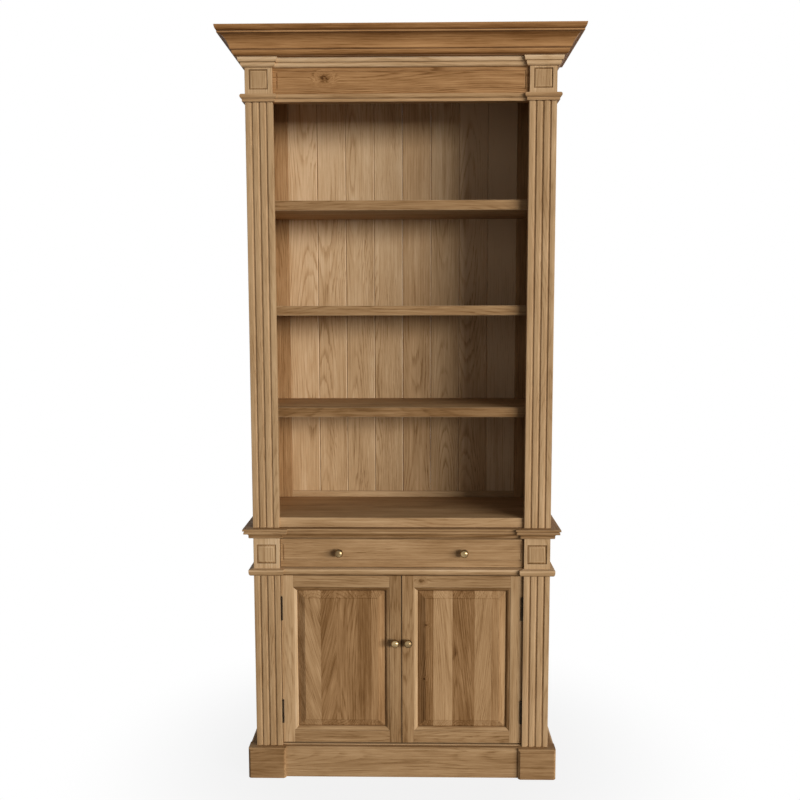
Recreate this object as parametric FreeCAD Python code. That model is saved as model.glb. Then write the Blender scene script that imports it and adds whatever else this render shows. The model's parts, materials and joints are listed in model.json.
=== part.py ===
import FreeCAD, Part
import os

# A two-part oak library bookcase: an open upper case with three fixed shelves stands on
# a cupboard with one drawer and two doors. X runs to the right, Y to the back and Z up.
# The origin is on the floor, under the middle of the cornice's outline. Sizes are in
# millimetres.

Vector = FreeCAD.Vector

# Case
overall_height = 2400.0
case_width = 966.0
pilaster_width = 85.0
pilaster_thickness = 25.0
front_setback = 11.0
interior_depth = 347.0
back_board_thickness = 12.0
back_recess = 4.0
side_thickness = 22.0
lining_thickness = 18.0
edge_ease = 1.5

# Levels of the lower case, from the floor up
plinth_height = 102.0
floor_rise = 3.0
door_foot_gap = 4.0
door_height = 572.0
door_gap = 3.0
door_side_gap = 1.5
meeting_gap = 2.0
drawer_rail_height = 22.5
drawer_opening_height = 96.5
top_rail_height = 17.0
lower_top_thickness = 22.0
rail_depth = 50.0

# Upper case
bottom_board_thickness = 31.0
shelf_thickness = 31.0
# Each shelf's top stands this share of the way from the bottom board to the frieze
shelf_shares = [0.2718, 0.5216, 0.7745]
shelf_setback = 38.0
housing_depth = 6.0
frieze_height = 194.0
frieze_thickness = 20.0
ceiling_rise = 74.0
ceiling_thickness = 18.0
cover_thickness = 18.0
foot_rail_height = 21.0
foot_rail_thickness = 8.0
foot_rail_chamfer = 3.0

# Back boards
back_board_count = 8
joint_chamfer = 2.0
tongue_depth = 6.0
tongue_thickness = 4.0
tongue_clearance = 0.2

# Flutes of the pilasters
flute_count = 3
flute_pitch = 22.5
flute_radius = 4.0

# Raised fields: a groove runs round each, square outside and bevelled inside
groove_depth = 3.0
field_bevel = 5.0
block_bevel = 6.5
lower_block_bevel = 9.0
upper_field_width = 58.0
upper_field_height = 60.0
upper_field_rise = 15.0
lower_field_width = 63.0
lower_field_height = 63.0
lower_field_rise = 16.0
frieze_field_margin = 11.0
frieze_field_rise = 15.0
frieze_field_height = 55.0
drawer_field_side_margin = 7.0
drawer_field_foot_margin = 22.0
drawer_field_head_margin = 14.5

# Curved mouldings lean this share of the way from the chord to the corner
round_share = 0.41
shallow_share = 0.28
cornice_cove_share = 0.22

# Cornice
cornice_height = 80.5
cornice_projection = 77.0
cornice_fascia_height = 18.0
cornice_fascia_lean = 8.5
cornice_fillet_step = 1.5
cornice_fillet_height = 3.5
cornice_soffit = 8.5
cornice_soffit_drip = 1.0
cornice_drip = 2.0
cornice_cove_height = 35.5
cornice_cove_width = 24.0
cornice_ledge = 5.0
cornice_ovolo_width = 9.5
cornice_ovolo_height = 14.5

# Bed moulding, under the cornice
bed_height = 27.5
bed_projection = 19.0
bed_fascia_height = 13.0
bed_fascia_lean = 3.0
bed_step = 5.5
bed_drip = 1.0
bed_fillet_height = 5.5
bed_foot = 4.0

# Neck moulding, at the heads of the pilasters and along the foot of the frieze
neck_height = 23.0
neck_projection = 14.5
neck_bead_height = 13.5
neck_bead_bulge = 3.5
neck_fillet = 8.0
neck_drip = 1.0

# Waist moulding, round the top of the lower case
waist_height = 33.0
waist_projection = 30.0
waist_fillet_height = 6.0
waist_recess_depth = 5.0
waist_recess_height = 3.5
waist_drip = 0.5
waist_band_step = 2.0
waist_band_height = 6.0
waist_soffit = 2.5
waist_foot = 13.0
waist_foot_height = 9.5
waist_foot_chamfer = 2.0

# Moulding under the drawer
drawer_moulding_projection = 15.0
drawer_moulding_edge = 2.0
drawer_moulding_fall = 2.0
drawer_moulding_nose_step = 2.0
drawer_moulding_nose_drip = 0.5
drawer_moulding_nose_height = 7.0
drawer_moulding_foot = 8.0

# Plinth
plinth_projection = 25.0
block_inner_projection = 14.0
block_chamfer = 6.5
plinth_board_projection = 13.0
plinth_board_thickness = 20.0
plinth_board_chamfer = 6.0
plinth_back_thickness = 18.0
floor_thickness = 18.0

# Cupboard shelf
cupboard_shelf_thickness = 18.0
cupboard_shelf_level = 299.0
cupboard_shelf_setback = 60.0

# Doors
door_thickness = 22.0
stile_width = 39.5
rail_width = 41.0
sticking_width = 12.5
sticking_quirk = 1.0
sticking_depth = 9.5
panel_lip = 1.0
panel_tongue_thickness = 6.0
panel_groove_depth = 8.0
panel_clearance = 0.3
panel_bevel = 24.5
panel_step = 0.6
tenon_length = 28.0
tenon_thickness = 7.0
tenon_shoulder = 7.0

# Hinges
hinge_length = 80.0
hinge_foot_inset = 108.0
hinge_head_inset = 112.0
barrel_radius = 3.2
barrel_gap = 0.3
barrel_inset = 2.1
pin_radius = 1.6
pin_clearance = 0.05
leaf_thickness = 1.4
leaf_width = 13.0
knuckle_count = 5

# Knobs
knob_radius = 13.8
knob_head_height = 22.0
knob_neck_radius = 5.0
knob_neck_height = 5.0
knob_rose_radius = 8.0
knob_rose_height = 2.5
knob_shank_radius = 2.0
knob_hole_clearance = 0.1
knob_screw_radius = 4.0
knob_screw_height = 2.5
door_knob_level = 347.0
door_knob_inset = 20.5
drawer_knob_offset = 203.7

# Catches
catch_width = 36.0
catch_height = 12.0
catch_depth = 18.0
catch_offset = 60.0
catch_gap = 0.3
strike_width = 30.0
strike_height = 8.0
strike_thickness = 1.5

# Drawer
drawer_front_thickness = 20.0
drawer_side_thickness = 12.0
drawer_length = 300.0
drawer_side_clearance = 1.5
drawer_running_clearance = 0.3
drawer_front_gap = 1.5
drawer_bottom_thickness = 6.0
drawer_bottom_rise = 6.0
drawer_groove_depth = 5.0
dovetail_count = 3
dovetail_width = 12.0
dovetail_flare = 2.0
runner_width = 20.0
runner_height = 18.0
full_turn = 360.0

# One overrun serves every cut that has to pass right through
overrun = 1.0
cutter_size = 2 * overall_height

# Places worked out from the sizes above
half_case = case_width / 2
half_opening = half_case - pilaster_width
case_depth = interior_depth + back_board_thickness + back_recess
back_y = (case_depth + cornice_projection) / 2
face_y = back_y - case_depth
front_y = face_y + front_setback
wall_y = face_y + pilaster_thickness
boards_y = face_y + interior_depth
boards_back_y = boards_y + back_board_thickness
half_inside = half_case - side_thickness
rail_back_y = front_y + rail_depth

floor_top = plinth_height + floor_rise
floor_bottom = floor_top - floor_thickness
door_bottom = floor_top + door_foot_gap
door_top = door_bottom + door_height
rail_bottom = door_top + door_gap
rail_top = rail_bottom + drawer_rail_height
drawer_opening_top = rail_top + drawer_opening_height
lower_top_bottom = drawer_opening_top + top_rail_height
lower_height = lower_top_bottom + lower_top_thickness

base_top = lower_height + bottom_board_thickness
cover_bottom = overall_height - cover_thickness
frieze_bottom = cover_bottom - frieze_height
shelf_tops = [base_top + share * (frieze_bottom - base_top) for share in shelf_shares]
cornice_bottom = overall_height - cornice_height
bed_bottom = cornice_bottom - bed_height
neck_top = frieze_bottom + neck_height
upper_seam = frieze_bottom + neck_height / 2
lower_seam = (rail_bottom + rail_top) / 2


def box(x_low, x_high, y_low, y_high, z_low, z_high):
    """A box between two corners, given as low and high along each axis."""
    corner = Vector(x_low, y_low, z_low)
    return Part.makeBox(x_high - x_low, y_high - y_low, z_high - z_low, corner)


def both_sides(shape):
    """A piece and its mirror image across the middle of the bookcase."""
    return [mirrored(shape), shape]


def mirrored(shape):
    """The mirror image of a right-hand piece, for the left."""
    return shape.mirror(Vector(0, 0, 0), Vector(1, 0, 0))


def save(name, pieces):
    """Write one sub-part; a list of pieces goes into one file as separate solids."""
    shape = Part.Compound(pieces) if isinstance(pieces, list) else pieces
    shape.exportStep("parts/" + name + ".step")


def bow(start, end, corner, share=round_share):
    """The middle point of a curve that leans from its chord towards a corner."""
    middle = [(start[i] + end[i]) / 2 for i in range(2)]
    return tuple(middle[i] + share * (corner[i] - middle[i]) for i in range(2))


def profile_face(profile, place):
    """A closed face through (out, up) points; four numbers give a curve's middle first.

    place turns an (out, up) pair into a point in space."""
    edges = []
    ends = [place(point[-2], point[-1]) for point in profile]
    for index, point in enumerate(profile):
        start, end = ends[index - 1], ends[index]
        if len(point) == 4:
            edges.append(Part.Arc(start, place(point[0], point[1]), end).toShape())
        else:
            edges.append(Part.LineSegment(start, end).toShape())
    return Part.Face(Part.Wire(edges))


def beyond(point, normal):
    """A large block that fills the space on one side of an upright mitre plane."""
    half = cutter_size / 2
    block = Part.makeBox(cutter_size, cutter_size, cutter_size, Vector(-half, -half, 0))
    turn = FreeCAD.Rotation(Vector(0, 0, 1), normal)
    block.Placement = FreeCAD.Placement(point, turn)
    return block


def moulded_runs(profile, corners, up, closed=False):
    """Lengths of moulding along a path of straight runs, mitred where they meet.

    The profile's out direction is the run's direction crossed with up."""
    reach = max(point[-2] for point in profile) + overrun
    count = len(corners)
    runs = []
    for index in range(count if closed else count - 1):
        start, end = corners[index], corners[(index + 1) % count]
        along = (end - start).normalize()
        out = along.cross(up)
        joined_start = closed or index > 0
        joined_end = closed or index < count - 2
        origin = start - along * (reach if joined_start else 0)
        finish = end + along * (reach if joined_end else 0)

        def place(outwards, upwards):
            return origin + out * outwards + up * upwards

        run = profile_face(profile, place).extrude(finish - origin)
        if joined_start:
            before = (start - corners[index - 1]).normalize()
            run = run.cut(beyond(start, mitre_normal(out, before.cross(up), along * -1)))
        if joined_end:
            after = (corners[(index + 2) % count] - end).normalize()
            run = run.cut(beyond(end, mitre_normal(out, after.cross(up), along)))
        runs.append(run.Solids[0])
    return runs


def mitre_normal(out, next_out, along):
    """The direction square to a mitre, pointing off the end of the run."""
    mitre = (out + next_out).normalize()
    return (along - mitre * along.dot(mitre)).normalize()


def prism(profile, place, along):
    """A straight length of one profile."""
    return profile_face(profile, place).extrude(along)


def frustum(back, front):
    """A solid between two upright rectangles, each (x0, x1, z0, z1, y)."""
    wires = []
    for x_low, x_high, z_low, z_high, y in (back, front):
        ring = [Vector(x_low, y, z_low), Vector(x_high, y, z_low),
                Vector(x_high, y, z_high), Vector(x_low, y, z_high)]
        wires.append(Part.makePolygon(ring + ring[:1]))
    return Part.makeLoft(wires, True, True)


def eased(board, y):
    """Soften the long edges of a board's face at one depth."""
    edges = [edge for edge in board.Edges
             if edge.BoundBox.YMax - y < edge_ease and edge.BoundBox.XLength > edge_ease]
    return board.makeFillet(edge_ease, edges)


def case_corners(z):
    """The plan of the case at its faces, broken forward over the pilasters."""
    points = [(-half_case, back_y), (-half_case, face_y), (-half_opening, face_y),
              (-half_opening, front_y), (half_opening, front_y), (half_opening, face_y),
              (half_case, face_y), (half_case, back_y)]
    return [Vector(x, y, z) for x, y in points]


def case_slab(z_low, z_high):
    """A board that covers the whole plan of the case."""
    ring = case_corners(z_low)
    face = Part.Face(Part.makePolygon(ring + ring[:1]))
    return face.extrude(Vector(0, 0, z_high - z_low))


def field_groove(x_low, x_high, z_low, z_high, face, bevel):
    """The groove round a raised field: square on the outside, bevelled on the inside."""
    corners = [Vector(x_low, face, z_high), Vector(x_low, face, z_low),
               Vector(x_high, face, z_low), Vector(x_high, face, z_high)]
    profile = [(0, -overrun), (bevel, -overrun), (bevel, 0), (0, groove_depth)]
    return moulded_runs(profile, corners, Vector(0, 1, 0), closed=True)


def pilaster(z_low, z_high):
    """The right-hand fluted shaft between two levels."""
    shaft = box(half_opening, half_case, face_y, wall_y, z_low, z_high)
    middle = half_opening + pilaster_width / 2
    for index in range(flute_count):
        x = middle + (index - (flute_count - 1) / 2) * flute_pitch
        foot = Vector(x, face_y, z_low - overrun)
        flute = Part.makeCylinder(flute_radius, z_high - z_low + 2 * overrun, foot)
        shaft = shaft.cut(flute)
    return shaft


def pilaster_block(z_low, z_high, field_low, field_width, field_height, bevel):
    """The right-hand block with its square field."""
    block = box(half_opening, half_case, face_y, wall_y, z_low, z_high)
    field_left = half_opening + (pilaster_width - field_width) / 2
    return block.cut(field_groove(field_left, field_left + field_width, field_low,
                                  field_low + field_height, face_y, bevel))


def tongued_boards(z_low, z_high):
    """Upright tongued and grooved boards, with a V where each pair meets."""
    pitch = 2 * half_opening / back_board_count
    boards = []
    for index in range(back_board_count):
        first, last = index == 0, index == back_board_count - 1
        left = -half_inside if first else -half_opening + index * pitch
        right = half_inside if last else -half_opening + (index + 1) * pitch
        board = box(left, right, boards_y, boards_back_y, z_low, z_high)
        middle = (boards_y + boards_back_y) / 2
        for edge, at_end in ((left, first), (right, last)):
            if not at_end:
                board = board.cut(corner_wedge(edge, z_low, z_high))
        if not last:
            half = tongue_thickness / 2
            board = board.fuse(box(right, right + tongue_depth, middle - half,
                                   middle + half, z_low, z_high))
        if not first:
            half = tongue_thickness / 2 + tongue_clearance
            board = board.cut(box(left - overrun, left + tongue_depth + tongue_clearance,
                                  middle - half, middle + half, z_low - overrun,
                                  z_high + overrun))
        boards.append(board.removeSplitter().Solids[0])
    return boards


def corner_wedge(x, z_low, z_high):
    """The V that two chamfered boards share at their joint."""
    def place(outwards, upwards):
        return Vector(x + outwards, boards_y + upwards, z_low - overrun)
    profile = [(-joint_chamfer, 0), (0, joint_chamfer), (joint_chamfer, 0),
               (joint_chamfer, -overrun), (-joint_chamfer, -overrun)]
    return prism(profile, place, Vector(0, 0, z_high - z_low + 2 * overrun))


def cornice_profile():
    """Rounded fascia, fillet, soffit, cove, ledge and ovolo, from the top down."""
    edge = (cornice_projection, cornice_height)
    fascia = (cornice_projection - cornice_fascia_lean,
              cornice_height - cornice_fascia_height)
    fillet_top = (fascia[0] + cornice_fillet_step, fascia[1] - cornice_soffit_drip)
    fillet_foot = (fillet_top[0], fillet_top[1] - cornice_fillet_height)
    cove_top = (fillet_foot[0] - cornice_soffit, fillet_foot[1] - cornice_soffit_drip)
    cove_foot = (cove_top[0] - cornice_cove_width, cove_top[1] - cornice_cove_height)
    ledge = (cove_foot[0], cove_foot[1] - cornice_fillet_height)
    ovolo_top = (ledge[0] - cornice_ledge, ledge[1] - cornice_drip)
    ovolo_foot = (ovolo_top[0] - cornice_ovolo_width, ovolo_top[1] - cornice_ovolo_height)
    curve = bow(edge, fascia, (edge[0], fascia[1]), shallow_share)
    cove = bow(cove_top, cove_foot, (cove_foot[0], cove_top[1]), cornice_cove_share)
    ovolo = bow(ovolo_top, ovolo_foot, (ovolo_top[0], ovolo_foot[1]))
    return [(0, cornice_height), edge, curve + fascia, fillet_top, fillet_foot, cove_top,
            cove + cove_foot, ledge, ovolo_top, ovolo + ovolo_foot, (ovolo_foot[0], 0),
            (0, 0)]


def bed_profile():
    """Leaning fascia over a fillet with a rounded foot."""
    fascia = (bed_projection - bed_fascia_lean, bed_height - bed_fascia_height)
    fillet_top = (fascia[0] - bed_step, fascia[1] - bed_drip)
    fillet_foot = (fillet_top[0], fillet_top[1] - bed_fillet_height)
    foot = (bed_foot, 0)
    return [(0, bed_height), (bed_projection, bed_height), fascia, fillet_top, fillet_foot,
            bow(fillet_foot, foot, (fillet_foot[0], foot[1])) + foot, (0, 0)]


def neck_profile():
    """Half-round bead over a square fillet."""
    bead = neck_projection - neck_bead_bulge
    bead_foot = neck_height - neck_bead_height
    middle = (neck_projection, (neck_height + bead_foot) / 2)
    return [(0, neck_height), (bead, neck_height), middle + (bead, bead_foot),
            (neck_fillet, bead_foot - neck_drip), (neck_fillet, 0), (0, 0)]


def waist_profile():
    """Square fillet, recess, square band, cove and foot, from the top down."""
    fillet_foot = (waist_projection, waist_height - waist_fillet_height)
    recess_top = (fillet_foot[0] - waist_recess_depth, fillet_foot[1] - waist_drip)
    recess_foot = (recess_top[0], recess_top[1] - waist_recess_height)
    band_top = (recess_foot[0] + waist_band_step, recess_foot[1] - waist_drip)
    band_foot = (band_top[0], band_top[1] - waist_band_height)
    cove_top = (band_foot[0] - waist_soffit, band_foot[1] - waist_drip)
    cove_foot = (waist_foot, waist_foot_height)
    cove = bow(cove_top, cove_foot, (cove_foot[0], cove_top[1]))
    return [(0, waist_height), (waist_projection, waist_height), fillet_foot, recess_top,
            recess_foot, band_top, band_foot, cove_top, cove + cove_foot,
            (waist_foot, waist_foot_chamfer), (waist_foot - waist_foot_chamfer, 0), (0, 0)]


def drawer_moulding_profile():
    """Sloping top, square nose and a rounded foot."""
    top = drawer_rail_height
    slope_foot = (drawer_moulding_projection - drawer_moulding_nose_step,
                  top - drawer_moulding_fall)
    nose_top = (drawer_moulding_projection, slope_foot[1] - drawer_moulding_nose_drip)
    nose_foot = (drawer_moulding_projection, nose_top[1] - drawer_moulding_nose_height)
    foot = (drawer_moulding_foot, 0)
    ovolo = bow(nose_foot, foot, (nose_foot[0], foot[1]), shallow_share)
    return [(0, top), (drawer_moulding_edge, top), slope_foot, nose_top, nose_foot,
            ovolo + foot, (0, 0)]


def knob(x, z, seat_y, back):
    """A turned brass knob with its rose and shank, and the screw head behind the wood.

    seat_y is the surface that it stands on, and back the surface behind it."""
    neck_foot = knob_rose_height
    head_foot = neck_foot + knob_neck_height
    head_top = head_foot + knob_head_height
    head_middle = (head_foot + head_top) / 2
    screw_top = seat_y - back
    crown = (0, head_top)
    girth = (knob_radius, head_middle)
    throat = (knob_neck_radius, head_foot)
    profile = [crown, bow(crown, girth, (girth[0], crown[1])) + girth,
               bow(girth, throat, (girth[0], throat[1])) + throat,
               (knob_neck_radius, neck_foot), (knob_rose_radius, neck_foot),
               (knob_rose_radius, 0), (knob_shank_radius, 0),
               (knob_shank_radius, screw_top), (knob_screw_radius, screw_top),
               (knob_screw_radius, screw_top - knob_screw_height),
               (0, screw_top - knob_screw_height)]

    def place(outwards, upwards):
        return Vector(x + outwards, seat_y - upwards, z)

    face = profile_face(profile, place)
    return face.revolve(Vector(x, seat_y, z), Vector(0, 1, 0), full_turn)


def knob_hole(x, z, seat_y, back):
    """The hole that a knob's shank passes through."""
    radius = knob_shank_radius + knob_hole_clearance
    return Part.makeCylinder(radius, back - seat_y + 2 * overrun,
                             Vector(x, seat_y - overrun, z), Vector(0, 1, 0))


os.makedirs("parts", exist_ok=True)

# Hinge axes, in front of the corner of each door
door_left = meeting_gap / 2
door_edge = half_opening - door_side_gap
door_back = front_y + door_thickness
hinge_x = door_edge - barrel_inset
hinge_y = front_y - barrel_radius - barrel_gap
hinge_levels = [door_bottom + hinge_foot_inset, door_top - hinge_head_inset]
knuckle_pitch = hinge_length / knuckle_count
leaf_back = front_y + leaf_width
fixed_leaf = (half_opening, half_opening + leaf_thickness)
moving_leaf = (door_edge - leaf_thickness, door_edge)


def leaf_plate(level, leaf, y_low):
    """A leaf's flat plate, let into the wood."""
    half = hinge_length / 2
    return box(leaf[0], leaf[1], y_low, leaf_back, level - half, level + half)


def hinge_half(level, leaf, moving):
    """One leaf with its knuckles, bored for the pin."""
    half = leaf_plate(level, leaf, front_y)
    bore = pin_radius + (pin_clearance if moving else 0)
    for index in range(knuckle_count):
        if (index % 2 == 1) == moving:
            low = level - hinge_length / 2 + index * knuckle_pitch + barrel_gap / 2
            high = low + knuckle_pitch - barrel_gap
            foot = Vector(hinge_x, hinge_y, low)
            half = half.fuse(Part.makeCylinder(barrel_radius, high - low, foot))
            if moving:
                web = box(leaf[0], leaf[1], hinge_y, front_y, low, high)
            else:
                web = box(hinge_x, leaf[1], hinge_y - leaf_thickness / 2,
                          hinge_y + leaf_thickness / 2, low, high)
                web = web.fuse(box(leaf[0], leaf[1], hinge_y, front_y, low, high))
            half = half.fuse(web)
    foot = Vector(hinge_x, hinge_y, level - hinge_length)
    return half.cut(Part.makeCylinder(bore, 2 * hinge_length, foot)).removeSplitter()


def hinge_pin(level):
    """The pin, as long as the hinge."""
    foot = Vector(hinge_x, hinge_y, level - hinge_length / 2 + barrel_gap / 2)
    return Part.makeCylinder(pin_radius, hinge_length - barrel_gap, foot)


# Lower case: plinth
block_outer = half_case + plinth_projection
block_inner = half_opening - block_inner_projection
block_front = face_y - plinth_projection
plinth_block = box(block_inner, block_outer, block_front, wall_y, 0, plinth_height)
chamfered = [edge for edge in plinth_block.Edges
             if edge.BoundBox.ZMax > block_chamfer
             and (edge.BoundBox.YMax < wall_y - block_chamfer
                  or (edge.BoundBox.ZMin > plinth_height - block_chamfer
                      and edge.BoundBox.XLength < block_chamfer))]
save("plinth_blocks", both_sides(plinth_block.makeChamfer(block_chamfer, chamfered)))


def side_place(outwards, upwards):
    return Vector(half_case + outwards, wall_y, upwards)


def front_place(outwards, upwards):
    return Vector(-block_inner, face_y - outwards, upwards)


return_profile = [(0, 0), (plinth_projection, 0),
                  (plinth_projection, plinth_height - block_chamfer),
                  (plinth_projection - block_chamfer, plinth_height), (0, plinth_height)]
plinth_side = prism(return_profile, side_place, Vector(0, back_y - wall_y, 0))
save("plinth_sides", both_sides(plinth_side))
save("plinth_back", box(-half_inside, half_inside, boards_back_y - plinth_back_thickness,
                        boards_back_y, 0, floor_bottom))
board_back = plinth_board_projection - plinth_board_thickness
board_profile = [(board_back, 0), (plinth_board_projection, 0),
                 (plinth_board_projection, plinth_height - plinth_board_chamfer),
                 (plinth_board_projection - plinth_board_chamfer, plinth_height),
                 (board_back, plinth_height)]
save("plinth_front", prism(board_profile, front_place, Vector(2 * block_inner, 0, 0)))

# Lower case: carcass
floor_front = face_y - board_back
floor = box(-half_inside, half_inside, wall_y, boards_y, floor_bottom, floor_top)
floor_nose = box(-block_inner, block_inner, floor_front, wall_y, floor_bottom, floor_top)
floor_lip = box(-half_opening, half_opening, floor_front, wall_y, plinth_height, floor_top)
save("cupboard_floor", floor.fuse([floor_nose, floor_lip]).removeSplitter())

lower_side = box(half_inside, half_case, wall_y, back_y, 0, lower_top_bottom)
save("lower_side_left", mirrored(lower_side))
save("lower_side_right", lower_side)

lining_outer = half_opening + lining_thickness
cupboard_shelf_end = half_opening + housing_depth
cupboard_shelf_top = floor_top + cupboard_shelf_level
cupboard_shelf_front = face_y + cupboard_shelf_setback
cupboard_shelf = box(-cupboard_shelf_end, cupboard_shelf_end, cupboard_shelf_front,
                     boards_y, cupboard_shelf_top - cupboard_shelf_thickness,
                     cupboard_shelf_top)
cupboard_shelf = eased(cupboard_shelf, cupboard_shelf_front)
save("cupboard_shelf", cupboard_shelf)
lower_lining = box(half_opening, lining_outer, wall_y, boards_y, floor_top,
                   lower_top_bottom).cut(cupboard_shelf)
save("lower_lining_left", mirrored(lower_lining))
save("lower_lining_right", lower_lining)

save("lower_back_boards", tongued_boards(floor_bottom, lower_top_bottom))
save("drawer_rails", [box(-half_opening, half_opening, front_y, rail_back_y, z_low, z_high)
                      for z_low, z_high in ((rail_bottom, rail_top),
                                            (drawer_opening_top, lower_top_bottom))])
runner = box(half_opening - runner_width, half_opening, rail_back_y, boards_y,
             rail_top - runner_height, rail_top)
kicker = box(half_opening - runner_width, half_opening, rail_back_y, boards_y,
             drawer_opening_top, lower_top_bottom)
save("drawer_runners", both_sides(runner) + both_sides(kicker))
save("lower_top_board", case_slab(lower_top_bottom, lower_height))

# Lower case: face
lower_shaft = pilaster(plinth_height, lower_seam)
for level in hinge_levels:
    lower_shaft = lower_shaft.cut(leaf_plate(level, fixed_leaf, hinge_y - leaf_thickness / 2))
save("lower_pilaster_left", mirrored(lower_shaft))
save("lower_pilaster_right", lower_shaft)
lower_block = pilaster_block(lower_seam, lower_top_bottom, rail_top + lower_field_rise,
                             lower_field_width, lower_field_height, lower_block_bevel)
save("lower_blocks", both_sides(lower_block))
up = Vector(0, 0, 1)
save("drawer_moulding", moulded_runs(drawer_moulding_profile(),
                                     case_corners(rail_bottom), up))
save("waist_moulding", moulded_runs(waist_profile(),
                                    case_corners(lower_height - waist_height), up))

# Hinges, catches and their strikes
fixed_halves = [hinge_half(level, fixed_leaf, False) for level in hinge_levels]
moving_halves = [hinge_half(level, moving_leaf, True) for level in hinge_levels]
save("hinge_frame_leaves", [piece for half in fixed_halves for piece in both_sides(half)])
save("right_door_hinge_leaves", moving_halves)
save("left_door_hinge_leaves", [mirrored(half) for half in moving_halves])
pins = [hinge_pin(level) for level in hinge_levels]
save("hinge_pins", [piece for pin in pins for piece in both_sides(pin)])

catch_y = door_back + catch_gap
catch = box(catch_offset, catch_offset + catch_width, catch_y, catch_y + catch_depth,
            rail_bottom - catch_height, rail_bottom)
save("door_catches", both_sides(catch))
strike_margin = (catch_width - strike_width) / 2
strike_low = rail_bottom - catch_height
strike = box(catch_offset + strike_margin, catch_offset + catch_width - strike_margin,
             door_back - strike_thickness, door_back, strike_low,
             strike_low + strike_height)
save("left_door_strike", mirrored(strike))
save("right_door_strike", strike)

# Right-hand door, built shut; the left one is its mirror image
inner_left = door_left + stile_width
inner_right = door_edge - stile_width
inner_low = door_bottom + rail_width
inner_high = door_top - rail_width
sticking_corners = [Vector(inner_left, front_y, inner_high),
                    Vector(inner_left, front_y, inner_low),
                    Vector(inner_right, front_y, inner_low),
                    Vector(inner_right, front_y, inner_high)]
lip = sticking_depth + panel_lip
groove_back = lip + panel_tongue_thickness
groove_start = sticking_width - panel_groove_depth
ovolo = bow((0, sticking_quirk), (sticking_width, sticking_depth),
            (sticking_width, sticking_quirk))
sticking_profile = [(0, door_thickness), (0, sticking_quirk),
                    ovolo + (sticking_width, sticking_depth), (sticking_width, lip),
                    (groove_start, lip), (groove_start, groove_back),
                    (sticking_width, groove_back), (sticking_width, door_thickness)]
sticking = moulded_runs(sticking_profile, sticking_corners, Vector(0, 1, 0), closed=True)
door_knob_x = door_left + door_knob_inset
door_knob_z = door_bottom + door_knob_level

tenon_front = front_y + (door_thickness - tenon_thickness) / 2
tenon_back = tenon_front + tenon_thickness
meeting_stile = box(door_left, inner_left, front_y, door_back, door_bottom, door_top)
hinge_stile = box(inner_right, door_edge, front_y, door_back, door_bottom, door_top)
rails = []
for z_low, z_high, run in ((door_bottom, inner_low, sticking[1]),
                           (inner_high, door_top, sticking[3])):
    rail = box(inner_left, inner_right, front_y, door_back, z_low, z_high).fuse(run)
    for x_low, x_high in ((inner_left - tenon_length, inner_left),
                          (inner_right, inner_right + tenon_length)):
        tenon = box(x_low, x_high, tenon_front, tenon_back, z_low + tenon_shoulder,
                    z_high - tenon_shoulder)
        rail = rail.fuse(tenon)
        meeting_stile = meeting_stile.cut(tenon)
        hinge_stile = hinge_stile.cut(tenon)
    rails.append(rail.removeSplitter().cut(strike))
meeting_stile = meeting_stile.fuse(sticking[0]).removeSplitter()
meeting_stile = meeting_stile.cut(knob_hole(door_knob_x, door_knob_z, front_y, door_back))
hinge_stile = hinge_stile.fuse(sticking[2]).removeSplitter()
for level in hinge_levels:
    hinge_stile = hinge_stile.cut(leaf_plate(level, moving_leaf, front_y))
stiles = [meeting_stile, hinge_stile]
save("right_door_stiles", stiles)
save("right_door_rails", rails)
save("left_door_stiles", [mirrored(stile) for stile in stiles])
save("left_door_rails", [mirrored(rail) for rail in rails])


def panel_rectangle(inset, depth):
    """A rectangle of the panel, inset from the door frame's inner edges."""
    return (inner_left + inset, inner_right - inset, inner_low + inset,
            inner_high - inset, front_y + depth)


tongue_inset = groove_start + panel_clearance
tongue_front = lip + panel_clearance / 2
tongue_back = groove_back - panel_clearance / 2
bevel_inset = sticking_width + panel_clearance
field_inset = sticking_width + panel_bevel
panel = frustum(panel_rectangle(tongue_inset, tongue_back),
                panel_rectangle(tongue_inset, tongue_front))
panel = panel.fuse(frustum(panel_rectangle(bevel_inset, tongue_front),
                           panel_rectangle(field_inset, panel_step)))
panel = panel.fuse(frustum(panel_rectangle(field_inset, panel_step),
                           panel_rectangle(field_inset, 0)))
panel = panel.removeSplitter()
save("right_door_panel", panel)
save("left_door_panel", mirrored(panel))
door_knob = knob(door_knob_x, door_knob_z, front_y, door_back)
save("right_door_knob", door_knob)
save("left_door_knob", mirrored(door_knob))

# Drawer
drawer_low = rail_top + drawer_front_gap
drawer_high = drawer_opening_top - drawer_front_gap
drawer_half = half_opening - drawer_front_gap
drawer_back_face = front_y + drawer_front_thickness
side_bottom = rail_top + drawer_running_clearance
side_outer = half_opening - drawer_side_clearance
side_inner = side_outer - drawer_side_thickness
drawer_end = drawer_back_face + drawer_length
bottom_low = side_bottom + drawer_bottom_rise
bottom_high = bottom_low + drawer_bottom_thickness

drawer_board = box(-drawer_half, drawer_half, front_y, drawer_back_face, drawer_low,
                   drawer_high)
field_half = drawer_half - drawer_field_side_margin
drawer_field_low = drawer_low + drawer_field_foot_margin
drawer_field_high = drawer_high - drawer_field_head_margin
drawer_board = drawer_board.cut(field_groove(-field_half, field_half, drawer_field_low,
                                             drawer_field_high, front_y, field_bevel))
drawer_side = box(side_inner, side_outer, drawer_back_face, drawer_end, side_bottom,
                  drawer_high)
tail_space = (drawer_high - bottom_high) / dovetail_count


def tail_place(outwards, upwards):
    return Vector(side_inner, drawer_back_face - outwards, upwards)


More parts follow.
